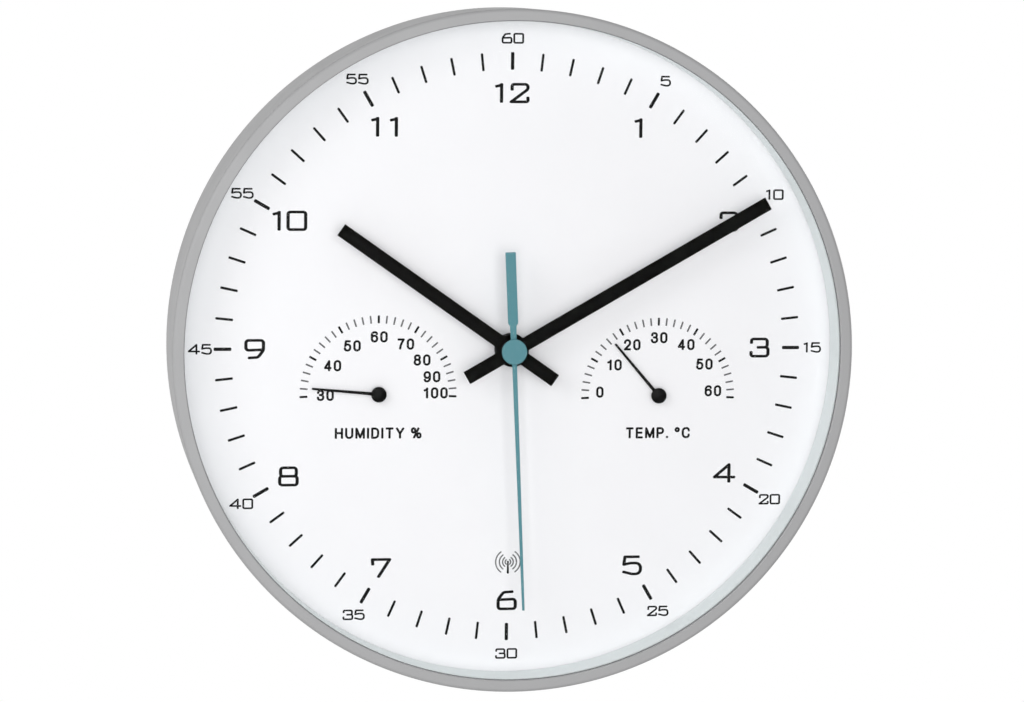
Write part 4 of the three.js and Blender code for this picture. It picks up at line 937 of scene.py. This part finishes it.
def scale_print(name, tick_radius, labels):
    centre = centre_of(f"{name}_spindle")
    inner = tick_radius - SCALE_TICK_LENGTH
    fine, bold = [], []
    for division in range(SCALE_DIVISIONS + 1):
        is_bold = division % 5 == 0
        width = BOLD_TICK_WIDTH if is_bold else FINE_TICK_WIDTH
        bar = rectangle(-width / 2, width / 2, inner, tick_radius, width * SCALE_TICK_ROUNDING)
        turn = SCALE_HALF_SWEEP * (2 * division / SCALE_DIVISIONS - 1)
        (bold if is_bold else fine).append(plate(placed(bar, centre, turn), *INK_DEPTHS))
    words = [(text, centre + Vector(place)) for text, place in labels.items()]
    ink(f"{name}_scale_bold", merged(bold))
    ink(f"{name}_scale_fine", merged(fine), GREY_INK)
    ink(f"{name}_scale_words", words_solid(words, PLAIN_FACE, LABEL_HEIGHT, LABEL_PEN, INK_DEPTHS))


NEEDLE_THICKNESS = 0.4
NEEDLE_ROOT_HALF = 0.62
NEEDLE_TIP_HALF = 0.38
NEEDLE_TIP_ROUNDING = 0.25
NEEDLE_ROUNDING = 0.1
NEEDLE_BORE = 1.1
NEEDLE_CUT = 1.3  # in the blade, under the hub
NEEDLE_HUB = 1.6
CAP_DOME = 0.45
CAP_FOOT = 0.2
CAP_STEPS = 12


def bore(centre, radius, sides):
    """A tool that cuts a round hole through a solid with the given sides."""
    return disc(centre, radius, sides.back - CUT_PAST, sides.front + CUT_PAST, turns=FINE_TURNS)


def pointer_and_cap(name):
    body = f"{name}_pointer"
    sides = extent(body)
    cap = extent(f"{body}_cap")
    centre = centre_of(f"{body}_cap")
    tip = farthest_from(body, centre) - centre
    turn = math.degrees(math.atan2(tip.x, tip.y))
    outline = symmetrical([(NEEDLE_ROOT_HALF, 0, 0), (NEEDLE_TIP_HALF, tip.length, NEEDLE_TIP_ROUNDING)])
    outline = placed(outline, centre, turn)
    needle = plate(outline, sides.front - NEEDLE_THICKNESS, sides.front, NEEDLE_ROUNDING)
    hub = section(NEEDLE_BORE, NEEDLE_HUB, sides.back, sides.front, [NEEDLE_ROUNDING] * 4)
    needle = cut(needle, bore(centre, NEEDLE_CUT, sides))
    needle = united([needle, lathe(hub, FINE_TURNS, centre)])
    piece(f"{name}_needle", needle, body, "pointer_black", [body])

    radius = radius_of(f"{body}_cap")
    profile = [(0, cap.back), (radius - CAP_FOOT, cap.back), (radius, cap.back + CAP_FOOT)]
    for across, rise in reversed(domed(radius, CAP_DOME, CAP_STEPS)):
        profile.append((across, cap.front - CAP_DOME + rise))
    piece(f"{name}_cap", lathe(profile, HUB_TURNS, centre), body, "pointer_black", [f"{body}_cap"])


# Hands

BLADE_WIDTH = 5
TIP_ZONE = 5.5  # around a hand's farthest corner
BLADE_THICKNESS = 0.8
BLADE_SETBACK = 0.3
BLADE_ROUNDING = 0.12
BLADE_CORNER = 0.15
BOSS_ROUNDING = 0.25
TEAL_TIP_HALF = 0.45
TEAL_THICKNESS = 0.6
# From the tail's end to the axis: half width, distance along the hand and rounding
TEAL_SIDE = [(1.9, -36.5, BLADE_CORNER), (1.85, -10.5, 0.2), (1.2, -9.4, 0.2), (0.9, 0, 0)]
TEAL_HUB = 1.6
TEAL_HUB_SETBACK = 0.1
TEAL_HUB_ROUNDING = 0.1
TEAL_BORE = 0.9
TEAL_CAP_ROUNDINGS = (0, 0.15, 0.35, 0)


def hand_turn(name, half, length):
    """A hand's clock angle, from its farthest corner, half a width beside its middle line."""
    tip = farthest_from(name, ORIGIN)
    near_tip = [place for place in places_of(name) if (place - tip).length < TIP_ZONE]
    middle = sum(near_tip, ORIGIN) / len(near_tip)
    side = 1 if tip.cross(middle) < 0 else -1
    return math.degrees(math.atan2(tip.x, tip.y) + side * math.atan2(half, length))


def bored_hand(name, solid, blade, boss, hole_radius, slot):
    hand = cut(united([blade, boss]), bore((0, 0), hole_radius, extent(solid)))
    piece(name, hand, solid, slot, [solid])


def bar_hand(name, solid, boss_radius, hole_radius, tail):
    sides = extent(solid)
    half = BLADE_WIDTH / 2
    length = math.sqrt(farthest_from(solid, ORIGIN).length ** 2 - half ** 2)
    bar = rectangle(-half, half, -tail, length, BLADE_CORNER)
    front = sides.front - BLADE_SETBACK
    blade = plate(placed(bar, clockwise=hand_turn(solid, half, length)), front - BLADE_THICKNESS, front,
                  BLADE_ROUNDING)
    boss = disc((0, 0), boss_radius, sides.back, sides.front, BOSS_ROUNDING)
    bored_hand(name, solid, blade, boss, hole_radius, "hand_black")


def teal_hand():
    sides = extent("second_hand")
    length = farthest_from("second_hand", ORIGIN).length
    outline = symmetrical([*TEAL_SIDE, (TEAL_TIP_HALF, length, BLADE_CORNER)])
    outline = placed(outline, clockwise=hand_turn("second_hand", TEAL_TIP_HALF, length))
    blade = plate(outline, sides.front - TEAL_THICKNESS, sides.front, BLADE_ROUNDING)
    hub = disc((0, 0), TEAL_HUB, sides.back, sides.front - TEAL_HUB_SETBACK, TEAL_HUB_ROUNDING, FINE_TURNS)
    bored_hand("teal_hand", "second_hand", blade, hub, TEAL_BORE, "hand_teal")

    cap = extent("second_hand_cap")
    profile = section(0, radius_of("second_hand_cap"), cap.back, cap.front, TEAL_CAP_ROUNDINGS)
    piece("teal_cap", lathe(profile, HUB_TURNS), "second_hand", "hand_teal", ["second_hand_cap"])


# Rear: shell, hanger, screws, movement, battery and buttons

SHELL_WALL = 2
SHELL_ROUNDING = 1.2
CHAMFER = 0.5
GROOVE_RADIUS = 112
GROOVE_HALF = 0.5
GROOVE_DEPTH = 0.35
HOOKS = 6
HOOK_HALF_ARC = 4
HOOK_BACK = 8.3
HOOK_FRONT = 9.7
POST_RADIUS = 4
POST_FRONT = 20
SCREW_SEAT = 18
HEAD_BORE = 3.1
SCREW_BORE = 1.5
HANGER_BOSS_RADIUS = 3
HANGER_BOSS_FRONT = 8.5
HANGER_PILOT_FRONT = 8
VENTS = 5
VENT_PITCH = 5
VENT_HALF_LENGTH = 11
VENT_HALF_WIDTH = 1
VENT_ROUNDING = 0.95
MOVEMENT_PLAY = 1
CATCH_REACH = 1.5  # of the movement's snap catches beyond its outline
TOOL_REACH = 0.5  # of a chamfering tool past a rear face
HOOK_COVER = 0.3  # of shell wall inside a hook's root
HOOK_RISE = -AXIS_Z / MM  # the wall hook is the frame's origin
KEYHOLE_DROP = 12
KEYHOLE_RADIUS = 5
KEYHOLE_SLOT = 2.5
HANGER_CORNER = 2
HANGER_ROUNDING = 0.15
DIAL_SCREWS = [f"dial_screw_{i + 1}" for i in range(4)]
HANGER_SCREWS = [f"hanger_screw_{i + 1}" for i in range(2)]


def flared(outline, face, front):
    """A tool that cuts a chamfered opening into a rear face."""
    return stack(outline, [(-CHAMFER - TOOL_REACH, face - TOOL_REACH), (0, face + CHAMFER), (0, front)])


def screw_bore(centre, face):
    """A tool for a counterbored hole that is chamfered at a rear face."""
    profile = [
        (0, face - TOOL_REACH), (HEAD_BORE + CHAMFER + TOOL_REACH, face - TOOL_REACH),
        (HEAD_BORE, face + CHAMFER), (HEAD_BORE, SCREW_SEAT), (SCREW_BORE, SCREW_SEAT),
        (SCREW_BORE, POST_FRONT + CUT_PAST), (0, POST_FRONT + CUT_PAST),
    ]
    return lathe(profile, FINE_TURNS, centre)


def vent_tools(name, face, front):
    """Slots behind an instrument, beside the movement."""
    centre = centre_of(f"{name}_pointer_cap")
    movement = extent("movement_case")
    side = 1 if centre.x > 0 else -1
    edge = max(side * movement.left, side * movement.right) + MOVEMENT_PLAY
    middle = side * max(side * centre.x, edge + VENT_HALF_LENGTH + SHELL_WALL)
    slot = rectangle(-VENT_HALF_LENGTH, VENT_HALF_LENGTH, -VENT_HALF_WIDTH, VENT_HALF_WIDTH, VENT_ROUNDING)
    rises = [centre.y + (i - (VENTS - 1) / 2) * VENT_PITCH for i in range(VENTS)]
    return [flared(placed(slot, (middle, rise)), face, front) for rise in rises]


def shell_hook(heading):
    """A snap hook that reaches into the ring's groove."""
    half = math.radians(HOOK_HALF_ARC)
    start, end, step = heading - half, heading + half, half / 4
    outline = arc(ORIGIN, extent("back_shell").right, start, end, step)
    outline += arc(ORIGIN, extent("dial_plate").right - SHELL_WALL + HOOK_COVER, end, start, step)
    return plate(outline, HOOK_BACK, HOOK_FRONT)


def back_shell():
    shell = extent("back_shell")
    face = shell.back
    floor = face + SHELL_WALL
    past = floor + CUT_PAST
    root = face + SHELL_WALL / 4  # of the posts, inside the floor
    outer = extent("dial_plate").right
    pan = lathe(rounded([
        (0, face, 0), (GROOVE_RADIUS - GROOVE_HALF, face, 0.1),
        (GROOVE_RADIUS - GROOVE_HALF / 2, face + GROOVE_DEPTH, 0.05),
        (GROOVE_RADIUS + GROOVE_HALF / 2, face + GROOVE_DEPTH, 0.05),
        (GROOVE_RADIUS + GROOVE_HALF, face, 0.1), (outer, face, SHELL_ROUNDING),
        (outer, shell.front, 0.2), (outer - SHELL_WALL, shell.front, 0.2),
        (outer - SHELL_WALL, floor, 1), (0, floor, 0),
    ]))
    hooks = [shell_hook(math.tau * i / HOOKS) for i in range(HOOKS)]
    screws = [centre_of(name) for name in DIAL_SCREWS]
    hangers = [centre_of(name) for name in HANGER_SCREWS]
    posts = [disc(place, POST_RADIUS, root, POST_FRONT) for place in screws]
    bosses = [disc(place, HANGER_BOSS_RADIUS, root, HANGER_BOSS_FRONT) for place in hangers]
    movement = extent("movement_case")
    lowest = movement.bottom + CATCH_REACH - MOVEMENT_PLAY
    highest = movement.top - CATCH_REACH + MOVEMENT_PLAY
    movement_window = rectangle(
        movement.left - MOVEMENT_PLAY, movement.right + MOVEMENT_PLAY, lowest, highest, 1)
    room = KEYHOLE_RADIUS + SHELL_WALL
    lowest = HOOK_RISE - KEYHOLE_DROP - room
    hook_window = rectangle(-room, room, lowest, HOOK_RISE + KEYHOLE_RADIUS, 2)
    tools = [flared(movement_window, face, past), flared(hook_window, face, past)]
    tools += [screw_bore(place, face) for place in screws]
    tools += [disc(place, SCREW_BORE, face - CUT_PAST, HANGER_PILOT_FRONT, turns=FINE_TURNS)
              for place in hangers]
    tools += vent_tools("hygro", face, past) + vent_tools("thermo", face, past)
    whole = united([pan, merged(hooks + posts + bosses)])
    piece("rear_shell", cut(whole, merged(tools)), "case", "back_white", ["back_shell"])


def hanger():
    """A steel plate with a keyhole: a round entry below a narrow slot."""
    sides = extent("hanger_plate")
    opening = math.asin(KEYHOLE_SLOT / KEYHOLE_RADIUS)
    keyhole = arc(Vector((0, HOOK_RISE)), KEYHOLE_SLOT, 0, math.pi)
    keyhole += arc(Vector((0, HOOK_RISE - KEYHOLE_DROP)), KEYHOLE_RADIUS, math.pi / 2 + opening,
                   math.pi * 2.5 - opening)
    holes = [keyhole] + [circle(centre_of(name), SCREW_BORE, FINE_TURNS) for name in HANGER_SCREWS]
    outline = rectangle(sides.left, sides.right, sides.bottom, sides.top, HANGER_CORNER)
    sheet = plate(outline, sides.back, sides.front, HANGER_ROUNDING, holes)
    piece("keyhole_hanger", sheet, "case", "steel", ["hanger_plate"])


SHANK_RADIUS = 1.2
SHANK_TAPER = 1
HEAD_STEPS = 8
SLOT_TURNS = (20, 110)
# Shares of a head's radius and height, and of the slot's own half width
SLOT_REACH = 0.62
SLOT_HALF = 0.15
SLOT_DEPTH = 0.7
SLOT_ROUNDING = 0.9


def cross_screw(name, head_radius, head_height, dome):
    """A screw whose cross-slotted head faces the wall."""
    sides = extent(name)
    centre = centre_of(name)
    head_front = sides.back + head_height
    profile = [(across, sides.back + dome - rise) for across, rise in domed(head_radius, dome, HEAD_STEPS)]
    profile += [
        (head_radius, head_front), (SHANK_RADIUS, head_front), (SHANK_RADIUS, sides.front - SHANK_TAPER),
        (SHANK_RADIUS / 3, sides.front), (0, sides.front),
    ]
    screw = lathe(profile, FINE_TURNS, centre)
    reach, half = head_radius * SLOT_REACH, head_radius * SLOT_HALF
    cross = rectangle(-half, half, -reach, reach, half * SLOT_ROUNDING)
    slot_front = sides.back + head_height * SLOT_DEPTH
    for turn in SLOT_TURNS:
        slot = plate(placed(cross, centre, turn), sides.back - CUT_PAST, slot_front)
        screw = cut(screw, slot)
    piece(f"cross_{name}", screw, "case", "steel", [name])


BUTTONS = ("set", "receive", "reset")
BUTTON_RADIUS = 2
BUTTON_FLANGE = 0.8
BUTTON_FLANGE_BACK = 4.4
DISH_RADIUS = 1.1
DISH_DEPTH = 0.2
DISH_EDGE_DEPTH = 0.12
BUTTON_RIM = 1.45  # radius of the rim's inner edge


def push_button(name):
    """A round button with a dished face and a flange behind the movement's wall."""
    solid = f"{name}_button"
    sides = extent(solid)
    wide = BUTTON_RADIUS + BUTTON_FLANGE
    profile = rounded([
        (0, sides.back + DISH_DEPTH, 0), (DISH_RADIUS, sides.back + DISH_EDGE_DEPTH, 0.4),
        (BUTTON_RIM, sides.back, 0.1), (BUTTON_RADIUS, sides.back, 0.25),
        (BUTTON_RADIUS, BUTTON_FLANGE_BACK, 0), (wide, BUTTON_FLANGE_BACK, 0.1),
        (wide, sides.front, 0.1), (0, sides.front, 0),
    ])
    knob = lathe(profile, FINE_TURNS, centre_of(solid))
    piece(f"{name}_knob", knob, solid, "button_grey", [solid])


MARK_PEN = (0.17, 0.16)
MARK_HEIGHT = 1.6
MARK_RISE = 4.6
POLE_PEN = (0.25, 0.25)
POLE_HEIGHT = 2.6
POLE_RISE = 3
POLE_INSET = 3  # from the cell's ends
WAVE_SCALE = 0.5


def movement_marks():
    """Plain words over the buttons, and the two poles over the battery's bay."""
    face = extent("movement_case").back
    depths = (face - INK_PROUD, face + INK_SUNK)
    above = Vector((0, MARK_RISE))
    words = [(name.upper(), centre_of(f"{name}_button") + above) for name in ("set", "reset")]
    words = words_solid(words, PLAIN_FACE, MARK_HEIGHT, MARK_PEN, depths, -1)
    waves = signal_waves(centre_of("receive_button") + above, WAVE_SCALE, depths)
    cell = extent("battery_cell")
    rise = cell.top + POLE_RISE
    poles = [("+", (cell.right - POLE_INSET, rise)), ("-", (cell.left + POLE_INSET, rise))]
    poles = words_solid(poles, PLAIN_FACE, POLE_HEIGHT, POLE_PEN, depths, -1)
    piece("movement_marks", merged([words, waves, poles]), "case", "button_grey", material=PALE_PRINT)


CELL_NUB = 1
CELL_NUB_RADIUS = 2.75
NUB_FOOT = (0.6, 0.15)  # how far it stands out and rises
SLEEVE = 0.32
SLEEVE_PLAY = 0.03
SLEEVE_END = 0.15  # from the can's end
# Roundings of the sleeve's and the band's sides, from the inner left corner
SLEEVE_ROUNDINGS = (0.1, 0.28, 0.02, 0.1)
BAND_ROUNDINGS = (0.1, 0.02, 0.28, 0.1)
BAND_SHARE = 0.24
BAND_PAINT = metal("battery_band", (0.55, 0.33, 0.16), 0.3)


def battery():
    """A cell in a printed sleeve with a copper-coloured band at its positive end."""
    sides = extent("battery_cell")
    centre = ((sides.bottom + sides.top) / 2, (sides.back + sides.front) / 2)
    radius = (sides.top - sides.bottom) / 2
    right = sides.right - CELL_NUB
    split = right - (right - sides.left) * BAND_SHARE

    def lying(up, depth, along):
        return world(along, up, depth)

    inner = radius - SLEEVE
    can_radius = inner - SLEEVE_PLAY
    can = rounded([
        (0, sides.left, 0), (can_radius, sides.left, 0.4), (can_radius, right, 0.4),
        (CELL_NUB_RADIUS + NUB_FOOT[0], right, 0.2), (CELL_NUB_RADIUS, right + NUB_FOOT[1], 0.1),
        (CELL_NUB_RADIUS, sides.right, 0.4), (0, sides.right, 0),
    ])
    sleeve = section(inner, radius, sides.left + SLEEVE_END, split, SLEEVE_ROUNDINGS)
    band = section(inner, radius, split, right - SLEEVE_END, BAND_ROUNDINGS)

    def cell_piece(name, profile, slot, *others):
        piece(name, lathe(profile, HUB_TURNS, centre, lying), "battery", slot, *others)

    cell_piece("cell_can", can, "steel", ["battery_cell"])
    cell_piece("cell_sleeve", sleeve, "battery_wrap")
    cell_piece("cell_band", band, "battery_wrap", (), BAND_PAINT)


BEVEL_WIDTH = 0.3
BEVEL_SEGMENTS = 2


def softened(name):
    """Rounds the edges of a solid that stays as it is."""
    bevel = frame["nodes"][name].modifiers.new("bevel", "BEVEL")
    bevel.limit_method = "ANGLE"
    bevel.angle_limit = SHARP_ANGLE
    bevel.width = BEVEL_WIDTH * MM
    bevel.segments = BEVEL_SEGMENTS
    bevel.harden_normals = True


photo_camera()
white_world()
pale_floor()
for lamp_name, lamp in SOFTBOXES.items():
    softbox(lamp_name, *lamp)
case_ring()
lens_and_spacer()
white_dial()
dial_numbers()
minute_ticks()
radio_signal()
for instrument, scale_values in SCALES.items():
    scale_print(instrument, *scale_values)
    pointer_and_cap(instrument)
bar_hand("black_hour_hand", "hour_hand", boss_radius=6, hole_radius=2.55, tail=19.4)
bar_hand("black_minute_hand", "minute_hand", boss_radius=4.9, hole_radius=1.65, tail=19.7)
teal_hand()
back_shell()
hanger()
for screw_name in DIAL_SCREWS:
    cross_screw(screw_name, head_radius=2.8, head_height=1.8, dome=0.5)
for screw_name in HANGER_SCREWS:
    cross_screw(screw_name, head_radius=2.4, head_height=0.6, dome=0.25)
for button_name in BUTTONS:
    push_button(button_name)
movement_marks()
battery()
softened("movement_case")

scene.view_settings.view_transform = "Standard"
